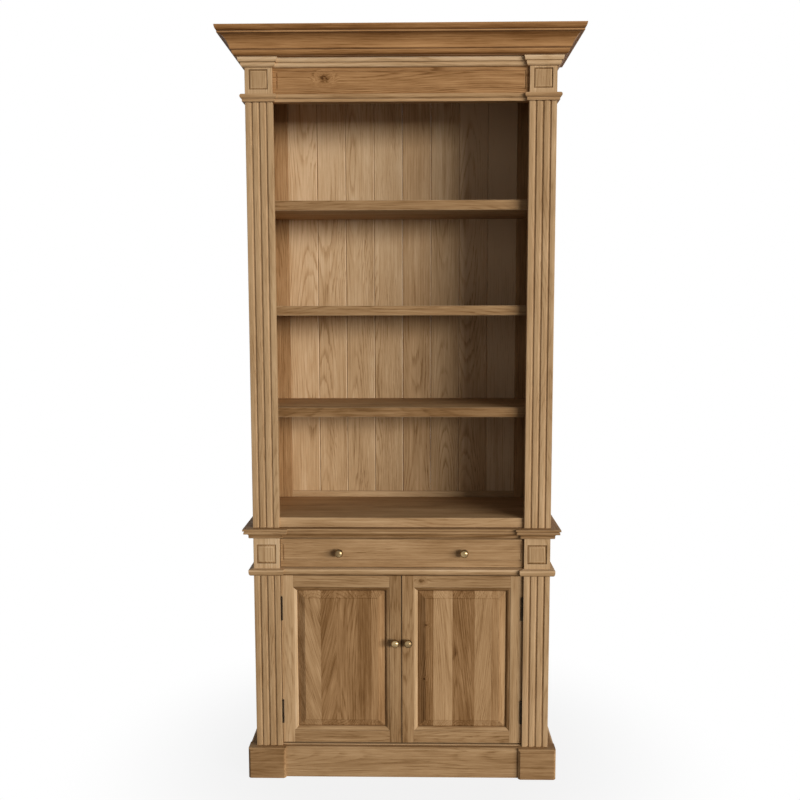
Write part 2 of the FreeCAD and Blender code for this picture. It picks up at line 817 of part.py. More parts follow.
for index in range(dovetail_count):
    tail_middle = bottom_high + (index + 1 / 2) * tail_space
    half_neck = dovetail_width / 2
    half_head = half_neck + dovetail_flare
    tail_profile = [(0, tail_middle - half_neck),
                    (drawer_side_thickness, tail_middle - half_head),
                    (drawer_side_thickness, tail_middle + half_head),
                    (0, tail_middle + half_neck)]
    tail = prism(tail_profile, tail_place, Vector(drawer_side_thickness, 0, 0))
    drawer_side = drawer_side.fuse(tail)
    drawer_board = drawer_board.cut(tail).cut(mirrored(tail))

bottom_half = side_inner + drawer_groove_depth
drawer_bottom = box(-bottom_half, bottom_half, drawer_back_face - drawer_groove_depth,
                    drawer_end, bottom_low, bottom_high)
drawer_side = drawer_side.removeSplitter().cut(drawer_bottom)
drawer_board = drawer_board.cut(drawer_bottom)
drawer_knob_z = (drawer_field_low + drawer_field_high) / 2
drawer_knob = knob(drawer_knob_offset, drawer_knob_z, front_y, drawer_back_face)
for knob_x in (-drawer_knob_offset, drawer_knob_offset):
    drawer_board = drawer_board.cut(knob_hole(knob_x, drawer_knob_z, front_y,
                                              drawer_back_face))
save("drawer_front", drawer_board)
save("drawer_sides", both_sides(drawer_side))
save("drawer_back", box(-side_inner, side_inner, drawer_end - drawer_side_thickness,
                        drawer_end, bottom_high, drawer_high))
save("drawer_bottom", drawer_bottom)
save("drawer_knobs", both_sides(drawer_knob))

# Upper case: carcass
ceiling_bottom = frieze_bottom + ceiling_rise
bottom_board = box(-half_inside, half_inside, wall_y, boards_y, lower_height, base_top)
bottom_nose = box(-half_opening, half_opening, front_y, wall_y, lower_height, base_top)
bottom_board = bottom_board.fuse(bottom_nose).removeSplitter()
save("upper_bottom_board", eased(bottom_board, front_y))
back_stile = box(half_opening, half_inside, boards_y - foot_rail_thickness, boards_y,
                 base_top, ceiling_bottom)
back_stiles = both_sides(back_stile)
save("back_stile_left", back_stiles[0])
save("back_stile_right", back_stiles[1])

upper_side = box(half_inside, half_case, wall_y, back_y, lower_height, cover_bottom)
shelf_end = half_inside + housing_depth
shelf_front = face_y + shelf_setback
for name, top in zip(("shelf_low", "shelf_middle", "shelf_high"), shelf_tops):
    shelf = box(-shelf_end, shelf_end, shelf_front, boards_y, top - shelf_thickness, top)
    shelf = eased(shelf, shelf_front)
    upper_side = upper_side.cut(shelf)
    save(name, shelf.cut(back_stiles))
ceiling = box(-shelf_end, shelf_end, front_y + frieze_thickness, boards_y, ceiling_bottom,
              ceiling_bottom + ceiling_thickness)
upper_side = upper_side.cut(ceiling)
save("upper_ceiling", ceiling)
save("upper_side_left", mirrored(upper_side))
save("upper_side_right", upper_side)
save("upper_back_boards", tongued_boards(lower_height, cover_bottom))


def foot_rail_place(outwards, upwards):
    return Vector(-half_opening, boards_y - outwards, base_top + upwards)


foot_rail_profile = [(0, 0), (foot_rail_thickness, 0),
                     (foot_rail_thickness, foot_rail_height - foot_rail_chamfer),
                     (foot_rail_thickness - foot_rail_chamfer, foot_rail_height),
                     (0, foot_rail_height)]
save("back_foot_rail", prism(foot_rail_profile, foot_rail_place,
                             Vector(2 * half_opening, 0, 0)))
save("top_cover", case_slab(cover_bottom, overall_height))

# Upper case: face
upper_shaft = pilaster(lower_height, upper_seam)
save("upper_pilaster_left", mirrored(upper_shaft))
save("upper_pilaster_right", upper_shaft)
upper_block = pilaster_block(upper_seam, cover_bottom, neck_top + upper_field_rise,
                             upper_field_width, upper_field_height, block_bevel)
save("upper_blocks", both_sides(upper_block))
frieze = box(-half_opening, half_opening, front_y, front_y + frieze_thickness,
             frieze_bottom, cover_bottom)
frieze_half = half_opening - frieze_field_margin
frieze_low = neck_top + frieze_field_rise
save("frieze_board", frieze.cut(field_groove(-frieze_half, frieze_half, frieze_low,
                                             frieze_low + frieze_field_height, front_y,
                                             field_bevel)))
save("neck_moulding", moulded_runs(neck_profile(), case_corners(frieze_bottom), up))
save("bed_moulding", moulded_runs(bed_profile(), case_corners(bed_bottom), up))

# Cornice: it runs straight across, so a packing strip fills the break behind it
cornice_corners = [Vector(-half_case, back_y, cornice_bottom),
                   Vector(-half_case, face_y, cornice_bottom),
                   Vector(half_case, face_y, cornice_bottom),
                   Vector(half_case, back_y, cornice_bottom)]
left_return, cornice_front, right_return = moulded_runs(cornice_profile(), cornice_corners,
                                                        up)
save("cornice_front", cornice_front)
save("cornice_returns", [left_return, right_return])
save("cornice_packing", box(-half_opening, half_opening, face_y, front_y, cornice_bottom,
                            overall_height))
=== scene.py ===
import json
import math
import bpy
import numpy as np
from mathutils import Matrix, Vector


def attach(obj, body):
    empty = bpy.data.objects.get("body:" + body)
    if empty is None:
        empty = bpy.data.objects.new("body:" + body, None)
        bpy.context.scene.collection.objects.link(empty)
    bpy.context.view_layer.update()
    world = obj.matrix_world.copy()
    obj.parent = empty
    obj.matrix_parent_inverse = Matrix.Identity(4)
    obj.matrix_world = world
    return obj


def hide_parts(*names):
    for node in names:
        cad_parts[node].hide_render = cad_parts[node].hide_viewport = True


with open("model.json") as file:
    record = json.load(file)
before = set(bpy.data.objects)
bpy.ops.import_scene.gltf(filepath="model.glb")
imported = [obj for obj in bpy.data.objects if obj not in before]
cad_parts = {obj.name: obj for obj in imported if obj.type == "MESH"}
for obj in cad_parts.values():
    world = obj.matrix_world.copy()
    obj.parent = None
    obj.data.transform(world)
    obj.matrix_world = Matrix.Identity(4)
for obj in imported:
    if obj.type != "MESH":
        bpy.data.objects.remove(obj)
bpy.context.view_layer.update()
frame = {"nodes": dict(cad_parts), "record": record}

# %% [markdown]
# # An oak library bookcase
# A tall bookcase in oiled oak: an open upper case on a cupboard with a drawer. The
# measured model gives every board its real size and place. Each wooden piece is then made
# again here as its own surface, because real joinery shows what a drawing leaves out:
# softened arrises, grain that follows each board, and tones that change from one board to
# the next. Sizes below are in millimetres, as a joiner writes them, and meshes in metres.

MM = 0.001
# Half widths: the case, the inside of it, a board housed in its sides, the opening, the
# plinth between its blocks.
SIDE, INSIDE, HOUSED, OPENING, BLOCK_IN = 483.0, 461.0, 467.0, 398.0, 384.0
# Depths: pilaster face, door face, carcass front, back of the fielded boards, back of the
# drawer rails, back stiles, back boards, rear.
FACE, FRONT, WALL, FIELD_BACK, RAIL_BACK = -143.0, -132.0, -118.0, -112.0, -82.0
STILE, BOARDS, BACK = 196.0, 204.0, 220.0
# Heights of the lower case: cupboard floor, plinth, drawer moulding, block, top board.
FLOOR_LOW, FLOOR_TOP, PLINTH = 87.0, 105.0, 102.0
BAND, LOW_BLOCK, HEAD, LOWER_TOP = 684.0, 695.25, 820.0, 842.0
# Heights of the upper case: bottom board, frieze, block, ceiling, cornice, cover, top.
BASE_TOP, FRIEZE, HIGH_BLOCK, CEILING = 873.0, 2188.0, 2199.5, 2262.0
CORNICE, COVER, TOP = 2319.5, 2382.0, 2400.0

# %% [markdown]
# ## How a board becomes a mesh
# Nearly every piece here is one outline carried along a straight line: a shelf, a fluted
# pilaster, a cornice. One helper does that job. It also writes two attributes on the
# points. `grain` is the point's place inside its own plank, so the figure runs along the
# plank whichever way it lies. `finish` holds the plank's tone, with painted light and shade
# added to it, its warmth and how much its arris is worn. A modelling tool with an unwrapped
# texture could do this too, but then every plank would need its own layout.

# %% Grain and softened corners


def plank_grain(points, along, across, seed):
    """Place in the log: along the grain, across it and through it, moved by a seed.

    Formula: (p . along, p . across, p . (along x across)) in metres + seed offsets."""
    through = np.cross(along, across)
    local = np.stack([points @ along, points @ across, points @ through], axis=1)
    shift = np.random.default_rng(seed)
    middle = (local.min(0) + local.max(0)) / 2
    offset = np.array([shift.uniform(0, 40), shift.uniform(-0.05, 0.05),
                       shift.choice([-1, 1]) * shift.uniform(0.03, 0.09)])
    return local - middle + offset


def soften(outline, radius, steps=3):
    """Round the corners of a closed outline.

    Formula: near corner C, with A and B at the radius before and after it on its two
    sides, the curve is (1-t)^2 A + 2t(1-t) C + t^2 B. Almost straight corners stay.
    The wear sin(pi t) is most at the middle of the corner and none on the flats. A third
    number in a row is painted light of its own: painted shade in a hollow and a painted
    highlight on a lit edge."""
    rows = np.array([(tuple(row) + (0.0,))[:3] for row in outline], float)
    outline = rows[:, :2]
    back, ahead = np.roll(outline, 1, 0) - outline, np.roll(outline, -1, 0) - outline
    back_size = np.linalg.norm(back, axis=1)[:, None]
    ahead_size = np.linalg.norm(ahead, axis=1)[:, None]
    turn = np.sum(back * ahead, axis=1) / (back_size * ahead_size)[:, 0]
    reach = np.minimum(radius, 0.4 * np.minimum(back_size, ahead_size))
    reach = np.where(turn[:, None] < -0.94, 0.0, reach)
    start = outline + back / back_size * reach
    end = outline + ahead / ahead_size * reach
    t = np.linspace(0, 1, steps + 1)[None, :, None]
    curve = (1 - t) ** 2 * start[:, None] + 2 * t * (1 - t) * outline[:, None] \
        + t ** 2 * end[:, None]
    worn = np.where(reach > 0, 1.0, 0.0) * np.sin(math.pi * t[:, :, 0])
    points = curve.reshape(-1, 2)
    shade = np.repeat(rows[:, 2], steps + 1)
    keep = np.linalg.norm(points - np.roll(points, 1, 0), axis=1) > 1e-6
    return points[keep], worn.reshape(-1)[keep], shade[keep]


print("a softened square has", len(soften([(0, 0), (9, 0), (9, 9), (0, 9)], 1)[0]), "points")

# %% Planks: an outline carried along a line


def carried(outline, start, end, out, up, mitre=(0, 0), tone=0.0, warm=0.0, soft=0.8,
            seed=0, across=None, gloom=0.0):
    """One plank: an outline carried from start to end, in millimetres.

    Formula: point = start + out * u + up * v + along * (distance + mitre * u), so a mitre
    of 1 or -1 cuts that end at 45 degrees, longer or shorter as the outline stands out.
    gloom is painted shade on the last 3 mm of the face, where an end stands close under
    another piece. The outline's own shades are painted light as well."""
    section, worn, shade = soften(outline, soft)
    start, end = np.asarray(start, float), np.asarray(end, float)
    out, up = np.asarray(out, float), np.asarray(up, float)
    length = np.linalg.norm(end - start)
    along = (end - start) / length
    stations = np.array([0.0, length - 3, length] if gloom else [0.0, length])
    cut = np.array((mitre[0],) + (mitre[1],) * (len(stations) - 1), float)
    flat = start + section[:, :1] * out + section[:, 1:] * up
    distance = stations[:, None] + cut[:, None] * section[None, :, 0]
    points = (flat[None] + distance[..., None] * along).reshape(-1, 3) * MM
    count = len(section)
    near = np.arange(count)
    following = np.roll(near, -1)
    hop = count * np.arange(len(stations) - 1)[:, None, None]
    sides = (np.stack([near, following, following + count, near + count], axis=1)
             + hop).reshape(-1, 4)
    far = near + hop[-1, 0, 0] + count
    handed = np.sum(section[:, 0] * np.roll(section[:, 1], -1)
                    - np.roll(section[:, 0], -1) * section[:, 1])
    faces = [list(face) for face in sides] + [list(near[::-1]), list(far)]
    if handed * np.dot(np.cross(out, up), along) <= 0:
        faces = [face[::-1] for face in faces]
    across = out if across is None else np.asarray(across, float)
    finish = np.stack([np.full(len(points), tone), np.full(len(points), warm),
                       np.tile(worn, len(stations))], axis=1)
    # Painted light: the outline's shades, and gloom's painted shade at the far end.
    finish[:, 0] += np.tile(shade, len(stations))
    finish[-count:, 0] -= gloom * (section[:, 1] < 3)
    return points, faces, plank_grain(points, along, across, seed), finish


def plank(low, high, grain_axis, tone=0.0, warm=0.0, soft=1.0, seed=0, gloom=0.0):
    """A plain board between two corners, with its grain along one axis."""
    low, size = np.asarray(low, float), np.subtract(high, low).astype(float)
    wide, thin = sorted((axis for axis in range(3) if axis != grain_axis),
                        key=lambda axis: -size[axis])
    eye = np.eye(3)
    outline = [(0, 0), (size[wide], 0), (size[wide], size[thin]), (0, size[thin])]
    return carried(outline, low, low + eye[grain_axis] * size[grain_axis], eye[wide],
                   eye[thin], tone=tone, warm=warm, soft=soft, seed=seed, gloom=gloom)


print("a plank has", len(plank((0, 0, 0), (900, 200, 20), 0)[1]), "faces")

# %% [markdown]
# ## Framed fields and turned pieces
# The square blocks, the frieze, the drawer and the door panels all show a flat field inside
# a sunk or raised border. Each is a nest of rectangles, one inside the next, at changing
# depths. A boolean cut would leave ragged faces, so the rings are laid out directly and
# the corners come out as true mitres. Knobs and hinge knuckles are turned, so their
# outline goes round an axis instead.

# %% Fields and turned pieces


def field(low, high, back, rings, grain_axis=0, tone=0.0, warm=0.0, seed=0):
    """A board whose front is a nest of rectangles.

    low and high are (x, z) corners; each ring is (inset left, right, bottom, top, y) and
    may end with a painted shade of its own, darker for shade and paler for a highlight.
    Formula: ring corner = outer corner moved in by the insets, at depth y."""
    rows = [(0, 0, 0, 0, back)] + list(rings)
    rows = np.array([(tuple(row) + (0.0,))[:6] for row in rows], float)
    x0, x1 = low[0] + rows[:, 0], high[0] - rows[:, 1]
    z0, z1 = low[1] + rows[:, 2], high[1] - rows[:, 3]
    points = np.stack([np.stack([x, rows[:, 4], z], 1)
                       for x, z in ((x0, z0), (x1, z0), (x1, z1), (x0, z1))], axis=1)
    points = points.reshape(-1, 3) * MM
    base = 4 * np.arange(len(rows) - 1)[:, None]
    corner = np.arange(4)[None]
    following = (corner + 1) % 4
    quads = np.stack([base + corner, base + following, base + 4 + following,
                      base + 4 + corner], axis=2).reshape(-1, 4)
    faces = [list(face) for face in quads]
    faces += [[3, 2, 1, 0], list(4 * (len(rows) - 1) + np.arange(4))]
    eye = np.eye(3)
    grain = plank_grain(points, eye[grain_axis], eye[2 - grain_axis], seed)
    finish = np.tile([tone, warm, 0.0], (len(points), 1))
    # Each ring's painted shade.
    finish[:, 0] += np.repeat(rows[:, 5], 4)
    return points, faces, grain, finish


def lathe(profile, foot, axis, steps=40):
    """A turned piece.

    Formula: point = foot + axis * h + r * (side cos a + other sin a), where each profile
    row is (r, h) and a goes once round; a flat cap closes each end."""
    profile, axis = np.asarray(profile, float), np.asarray(axis, float)
    side = np.array([1.0, 0, 0]) if abs(axis[0]) < 0.5 else np.array([0, 1.0, 0])
    other = np.cross(axis, side)
    angle = np.linspace(0, 2 * math.pi, steps, endpoint=False)
    ring = np.cos(angle)[:, None] * side + np.sin(angle)[:, None] * other
    points = np.asarray(foot) + profile[:, None, 1:] * axis + profile[:, None, :1] * ring
    points = points.reshape(-1, 3) * MM
    index = np.arange(len(points)).reshape(-1, steps)
    right = np.roll(index, -1, axis=1)
    quads = np.stack([index[:-1], right[:-1], right[1:], index[1:]], axis=-1)
    faces = [list(face) for face in quads.reshape(-1, 4)]
    faces += [list(index[0][::-1]), list(index[-1])]
    return points, faces, points.copy(), np.zeros((len(points), 3))


print("a turned ring has", len(lathe([(3, 0), (3, 9)], (0, 0, 0), (0, 0, 1))[1]), "faces")

# %% [markdown]
# ## From pieces to objects
# Each node of the measured model gets one object that stands for it. A node such as the
# back boards holds several planks, so their meshes are put in one object, each with its
# own attributes. Faces that meet at a shallow angle are shaded smooth and sharp arrises
# stay sharp.

# %% Objects that stand for the measured nodes
made = {}


def mirror_x(part):
    """The left-hand twin: x becomes -x and each face is turned over."""
    points, faces, grain, finish = part
    flipped = points * np.array([-1.0, 1, 1])
    return flipped, [face[::-1] for face in faces], grain + [3.1, 0.013, 0.004], finish


def mirrored(parts):
    """The left-hand twins of several parts."""
    return [mirror_x(part) for part in parts]


def show(node, parts, material=None, bevel=0.0):
    """Join parts into one object that replaces a node and rides on its body.

    Without a material it is plain oiled oak. bevel eases its sharp edges, in mm."""
    faces, offset = [], 0
    for part in parts:
        faces += [[int(i) + offset for i in face] for face in part[1]]
        offset += len(part[0])
    points, grain, finish = (np.concatenate([part[i] for part in parts]) for i in (0, 2, 3))
    mesh = bpy.data.meshes.new(node + "_look")
    mesh.from_pydata(points.tolist(), [], faces)
    for name, values in (("grain", grain), ("finish", finish)):
        layer = mesh.attributes.new(name, "FLOAT_VECTOR", "POINT")
        layer.data.foreach_set("vector", values.ravel())
    mesh.shade_smooth()
    mesh.set_sharp_from_angle(angle=math.radians(32))
    mesh.materials.append(material or oak)
    piece = bpy.data.objects.new(node + "_look", mesh)
    bpy.context.scene.collection.objects.link(piece)
    if bevel:
        edge = piece.modifiers.new("Eased arrises", "BEVEL")
        edge.width = bevel * MM
        edge.segments = 2
        edge.limit_method = "ANGLE"
        edge.angle_limit = math.radians(30)
        edge.harden_normals = True
    body = next(name for name, nodes in frame["record"]["behaviour"]["bodies"].items()
                if node in nodes)
    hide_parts(node)
    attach(piece, body)
    made[node] = piece


print("ready to place pieces on", len(frame["nodes"]), "nodes")

# %% [markdown]
# ## What makes oak look like oak
# Oak shows three things at once. Growth rings cut the face as long lines, or as nested
# arches where the board was sawn through the middle of the log. Open pores draw fine dark
# dashes along the grain. And the whole board drifts slowly in tone. A photograph of oak
# would show all three, but it repeats and it stretches. Here each is computed from the
# plank's place in its own log: the rings are circles about the pith, so arches appear by
# themselves wherever a face runs near to it.

# %% Small helpers for shader nodes


def wire(tree, node, sockets):
    """Fill a node's sockets, by name or number, with a link or with a plain value."""
    for label, value in dict(sockets).items():
        if isinstance(value, bpy.types.NodeSocket):
            tree.links.new(value, node.inputs[label])
        else:
            node.inputs[label].default_value = value
    return node


def add_node(tree, kind, sockets=(), **settings):
    """A shader node of a kind, with its settings and what goes into its sockets."""
    node = tree.nodes.new("ShaderNode" + kind)
    for name, value in settings.items():
        setattr(node, name, value)
    return wire(tree, node, sockets)


def maths(tree, operation, *values):
    """One step of arithmetic."""
    return add_node(tree, "Math", enumerate(values), operation=operation).outputs[0]


def vectors(tree, operation, *values):
    """One step of arithmetic on vectors; a length or a dot product gives a number."""
    node = add_node(tree, "VectorMath", enumerate(values), operation=operation)
    return node.outputs["Value" if operation in ("LENGTH", "DOT_PRODUCT") else "Vector"]


def blotch(tree, place, stretch, detail=2.0, rough=0.5):
    """Noise about a place whose three directions are stretched, centred on zero."""
    noise = add_node(tree, "TexNoise", {
        "Scale": 1.0, "Detail": detail, "Roughness": rough,
        "Vector": vectors(tree, "MULTIPLY", place, stretch)})
    return maths(tree, "SUBTRACT", noise.outputs["Fac"], 0.5)


def fade(tree, value, start, end, low, high):
    """A smooth change from low to high while a value goes from start to end."""
    return add_node(tree, "MapRange", {
        "Value": value, "From Min": start, "From Max": end, "To Min": low, "To Max": high},
        interpolation_type="SMOOTHSTEP").outputs[0]


def new_group(name, inputs, outputs):
    """An empty node group with named sockets; returns it with its two end nodes."""
    group = bpy.data.node_groups.new(name, "ShaderNodeTree")
    for label, kind, value in inputs:
        socket = group.interface.new_socket(label, in_out="INPUT",
                                            socket_type="NodeSocket" + kind)
        if value is not None:
            socket.default_value = value
    for label, kind in outputs:
        group.interface.new_socket(label, in_out="OUTPUT", socket_type="NodeSocket" + kind)
    return group, group.nodes.new("NodeGroupInput"), group.nodes.new("NodeGroupOutput")


def new_material(name):
    """A new material, with its node tree and its surface shader."""
    material = bpy.data.materials.new(name)
    material.use_nodes = True
    return material, material.node_tree, material.node_tree.nodes["Principled BSDF"]


print("shader helpers made:", maths.__name__, vectors.__name__, blotch.__name__, fade.__name__)

# %% The oak figure, shared by every wooden finish
tree, given, result = new_group(
    "Oak figure",
    [("Grain", "Vector", None), ("Tone", "Float", 0.0), ("Warmth", "Float", 0.0),
     ("Contrast", "Float", 1.0), ("Arches", "Float", 1.0)],
    [("Color", "Color"), ("Pores", "Float"), ("Rings", "Float")])
oak_figure = tree
RING_WIDTH = 0.0045
grain = given.outputs["Grain"]
side_step, through = add_node(tree, "SeparateXYZ", {0: grain}).outputs[1:]
sway = blotch(tree, grain, (1.7, 5.0, 5.0), 1.5)
ripple = blotch(tree, grain, (9.0, 45.0, 45.0), 2.0)
jagged = blotch(tree, grain, (7.0, 110.0, 110.0), 3.0, 0.7)
for wave, amount in ((sway, 0.055), (ripple, 0.003), (jagged, 0.009)):
    side_step = maths(tree, "MULTIPLY_ADD", wave, amount, side_step)
drift = blotch(tree, grain, (1.3, 0.0, 0.0), 0.0)
pith = maths(tree, "MULTIPLY_ADD", drift, 0.09, through)
flat = add_node(tree, "CombineXYZ", {0: side_step, 1: pith}).outputs[0]
radius = maths(tree, "MULTIPLY_ADD", jagged, 0.004, vectors(tree, "LENGTH", flat))
year = maths(tree, "FRACT", maths(tree, "DIVIDE", radius, RING_WIDTH))
rings = maths(tree, "ADD", fade(tree, year, 0.0, 0.42, 1.0, 0.0),
              fade(tree, year, 0.88, 1.0, 0.0, 1.0))
breaks = blotch(tree, grain, (3.0, 28.0, 28.0), 2.0)
rings = maths(tree, "MULTIPLY", rings, fade(tree, breaks, -0.16, 0.14, 0.15, 1.0))
streaks = blotch(tree, grain, (2.6, 170.0, 170.0), 4.0, 0.7)
fibres = blotch(tree, grain, (16.0, 620.0, 620.0), 3.0, 0.75)
clouds = blotch(tree, grain, (4.0, 24.0, 24.0), 3.0)
pores = maths(tree, "MULTIPLY", fibres, maths(tree, "MULTIPLY_ADD", rings, 0.50, 0.45))
drawn = maths(tree, "MULTIPLY", rings, given.outputs["Arches"])
value = maths(tree, "MULTIPLY_ADD", drawn, -0.09, 0.02)
value = maths(tree, "MULTIPLY_ADD", streaks, 0.50, value)
value = maths(tree, "ADD", pores, value)
value = maths(tree, "MULTIPLY_ADD", clouds, 0.42, value)
value = maths(tree, "MULTIPLY", value, given.outputs["Contrast"])
value = maths(tree, "ADD", value, 0.56)
value = maths(tree, "ADD", value, given.outputs["Tone"])
wood_tones = ((0.0, (0.075, 0.034, 0.011)), (0.25, (0.185, 0.097, 0.037)),
              (0.5, (0.338, 0.206, 0.099)), (0.75, (0.478, 0.314, 0.168)),
              (1.0, (0.62, 0.45, 0.28)))
tones = add_node(tree, "ValToRGB", {0: value})
stops = tones.color_ramp.elements
for place, _ in wood_tones[1:-1]:
    stops.new(place)
for stop, (_, color) in zip(stops, wood_tones):
    stop.color = color + (1,)
amber = add_node(tree, "Mix", {"Factor": given.outputs["Warmth"], 6: tones.outputs["Color"],
                               7: (1.0, 0.80, 0.60, 1)}, data_type="RGBA",
                 blend_type="MULTIPLY")
wire(tree, result, {"Color": amber.outputs[2], "Pores": pores, "Rings": rings})
print("oak figure has", len(tree.nodes), "nodes")

# %% [markdown]
# ## Worn arrises
# Handling and sanding leave the sharp edges of oak paler and smoother than its faces. The
# rounded corners already carry a mark in `finish`, so the effect only has to follow it,
# broken up by a little noise. A bevel shader could find edges by itself, but it is slow
# and it would also pale the crisp joints between boards.

# %% Arris wear, shared by the wooden finishes
tree, given, result = new_group(
    "Arris wear",
    [("Color", "Color", (0.4, 0.25, 0.12, 1)), ("Worn", "Float", 0.0),
     ("Grain", "Vector", None), ("Amount", "Float", 0.5)],
    [("Color", "Color"), ("Mask", "Float")])
arris_wear = tree
wear_and_highlight = blotch(tree, given.outputs["Grain"], (14.0, 60.0, 60.0), 2.0)
wear_and_highlight = maths(tree, "ADD", wear_and_highlight, 0.75)
mask = maths(tree, "MULTIPLY", given.outputs["Worn"], wear_and_highlight)
mask = maths(tree, "MULTIPLY", mask, given.outputs["Amount"])
paler = add_node(tree, "Mix", {"Factor": mask, 6: given.outputs["Color"],
                               7: (0.66, 0.50, 0.33, 1)}, data_type="RGBA")
wire(tree, result, {"Color": paler.outputs[2], "Mask": mask})
print("arris wear has", len(tree.nodes), "nodes")

# %% [markdown]
# ## Knots and glued staves
# Where a branch grew, the grain parts round a dark heart. Three of the finishes below have
# such knots. The door panels are glued up from staves, and each stave came from another
# log. For them a ramp with hard steps across the panel gives each stave its own tone, and
# another shift inside the log. Separate planks would do that too, but their joints would
# show through the raised bevel.

# %% Knots and staves
PANEL_MIDDLE = 0.39


def add_knot(tree, place, grain, tone, x, z, size):
    """Grain that parts round a knot, and a dark heart to it.

    Formula: with r the ragged distance from the knot over its size, the grain moves inside
    the log by 0.03 exp(-r^2), and the tone drops by 0.4 exp(-3.2 r^2)."""
    offset = vectors(tree, "SUBTRACT", place, (x, 0, z))
    flat = vectors(tree, "MULTIPLY", offset, (0.7 / size, 0, 1 / size))
    ragged = maths(tree, "MULTIPLY_ADD", blotch(tree, place, (110.0, 110.0, 260.0), 3.0), 1.8,
                   vectors(tree, "DOT_PRODUCT", flat, flat))
    wide, core = [maths(tree, "EXPONENT", maths(tree, "MULTIPLY", ragged, power))
                  for power in (-1.0, -3.2)]
    return (vectors(tree, "MULTIPLY_ADD", wide, (0, 0.012, 0.03), grain),
            maths(tree, "MULTIPLY_ADD", core, -0.4, tone))


def glue_staves(tree, place, grain, tone, warmth, staves):
    """Give each stave its own tone, place in the log, warmth and slope of the grain.

    A ramp with hard steps along x holds 0.5 + tone in its red, the seed in its green, the
    warmth in its blue and 0.5 + slope in its alpha. Formula: grain moves along the log by
    31 and through it by 0.06 times the seed, and across it by slope times the height over
    the panel's middle, in metres."""
    left, right = staves[0][0], staves[-1][0] + 0.1
    x, _, height = add_node(tree, "SeparateXYZ", {0: place}).outputs
    along = add_node(tree, "MapRange", {"Value": x, "From Min": left, "From Max": right})
    ramp = add_node(tree, "ValToRGB", {0: along.outputs[0]})
    ramp.color_ramp.interpolation = "CONSTANT"
    steps = ramp.color_ramp.elements
    while len(steps) < len(staves):
        steps.new(0.5)
    for step, (edge, level, seed, warm, slope) in zip(steps, staves):
        step.position = (edge - left) / (right - left)
        step.color = (0.5 + level, seed, warm, 0.5 + slope)
    level, log, warm = add_node(tree, "SeparateColor", {0: ramp.outputs["Color"]}).outputs
    tone = maths(tree, "ADD", tone, maths(tree, "SUBTRACT", level, 0.5))
    warmth = maths(tree, "ADD", warmth, warm)
    moved = vectors(tree, "MULTIPLY_ADD", log, (31.0, 0.0, 0.06), grain)
    run, across, through = add_node(tree, "SeparateXYZ", {0: moved}).outputs
    slope = maths(tree, "SUBTRACT", ramp.outputs["Alpha"], 0.5)
    across = maths(tree, "MULTIPLY_ADD", slope,
                   maths(tree, "SUBTRACT", height, PANEL_MIDDLE), across)
    grain = add_node(tree, "CombineXYZ", {0: run, 1: across, 2: through}).outputs[0]
    return grain, tone, warmth


print("staves slope about a height of", PANEL_MIDDLE, "metres")

# %% [markdown]
# ## The oiled oak finish
# The finish is matt oil. Light wood between the pores shines a little and the pores do
# not, so roughness and bump both follow the figure. One material could serve every board,
# but the frieze, the back and the panels were sawn another way, so they draw the growth
# rings more strongly.

# %% Oak finishes


def oak_finish(name, contrast=1.15, arches=1.3, staves=None, knots=()):
    """The oiled oak material. arches is how strongly the growth rings are drawn.

    staves is rows of (x in metres, tone, seed, warmth, slope of the grain); knots is rows
    of (x, z, radius) in metres."""
    material, tree, shader = new_material(name)
    grain = add_node(tree, "Attribute", attribute_name="grain").outputs["Vector"]
    marks = add_node(tree, "Attribute", attribute_name="finish").outputs["Vector"]
    tone, warmth, worn = add_node(tree, "SeparateXYZ", {0: marks}).outputs
    place = add_node(tree, "TexCoord").outputs["Object"]
    if staves:
        grain, tone, warmth = glue_staves(tree, place, grain, tone, warmth, staves)
    for knot in knots:
        grain, tone = add_knot(tree, place, grain, tone, *knot)
    figure = add_node(tree, "Group", {"Grain": grain, "Tone": tone, "Warmth": warmth,
                                      "Contrast": contrast, "Arches": arches},
                      node_tree=oak_figure).outputs
    wear = add_node(tree, "Group", {"Color": figure["Color"], "Worn": worn, "Grain": grain,
                                    "Amount": 0.35}, node_tree=arris_wear).outputs
    matt = maths(tree, "MULTIPLY_ADD", figure["Pores"], -0.25, 0.56)
    matt = maths(tree, "MULTIPLY_ADD", wear["Mask"], -0.12, matt)
    height = maths(tree, "MULTIPLY_ADD", figure["Rings"], -0.3, figure["Pores"])
    bump = add_node(tree, "Bump", {"Strength": 0.35, "Distance": 0.0006, "Height": height})
    wire(tree, shader, {"Base Color": wear["Color"], "Roughness": matt,
                        "Specular IOR Level": 0.06, "Normal": bump.outputs["Normal"]})
    return material


oak = oak_finish("Oiled oak")
flat_sawn = oak_finish("Flat-sawn oak", arches=2.4)
knotted_frieze = oak_finish("Oak frieze with a knot", 1.3, 2.0,
                            knots=[(-0.237, 2.258, 0.017)])
knotted_rails = oak_finish("Oak rails of the right door", knots=[(0.0653, 0.6621, 0.009)])
left_staves = oak_finish("Oak staves of the left door", arches=1.8, staves=[
    (-0.36, -0.10, 0.10, 0.0, -0.3), (-0.3239, 0.03, 0.10, 0.0, -0.3),
    (-0.2675, -0.14, 0.35, 0.1, 0.25), (-0.2162, -0.13, 0.60, 0.1, 0.0),
    (-0.1797, -0.11, 0.80, 0.1, 0.05), (-0.1466, -0.20, 0.22, 0.1, 0.0),
    (-0.1002, -0.08, 0.48, 0.1, 0.0)])
right_staves = oak_finish("Oak staves of the right door", arches=1.8, staves=[
    (0.04, -0.19, 0.15, 0.1, 0.0), (0.1032, 0.09, 0.40, 0.0, 0.05),
    (0.1659, -0.18, 0.66, 0.1, 0.1), (0.2395, 0.01, 0.27, 0.0, -0.1),
    (0.2946, -0.06, 0.85, 0.1, 0.05), (0.3144, 0.03, 0.50, 0.0, 0.0)],
    knots=[(0.082, 0.5135, 0.006), (0.074, 0.329, 0.005)])
print("oak finishes:", len(bpy.data.materials))

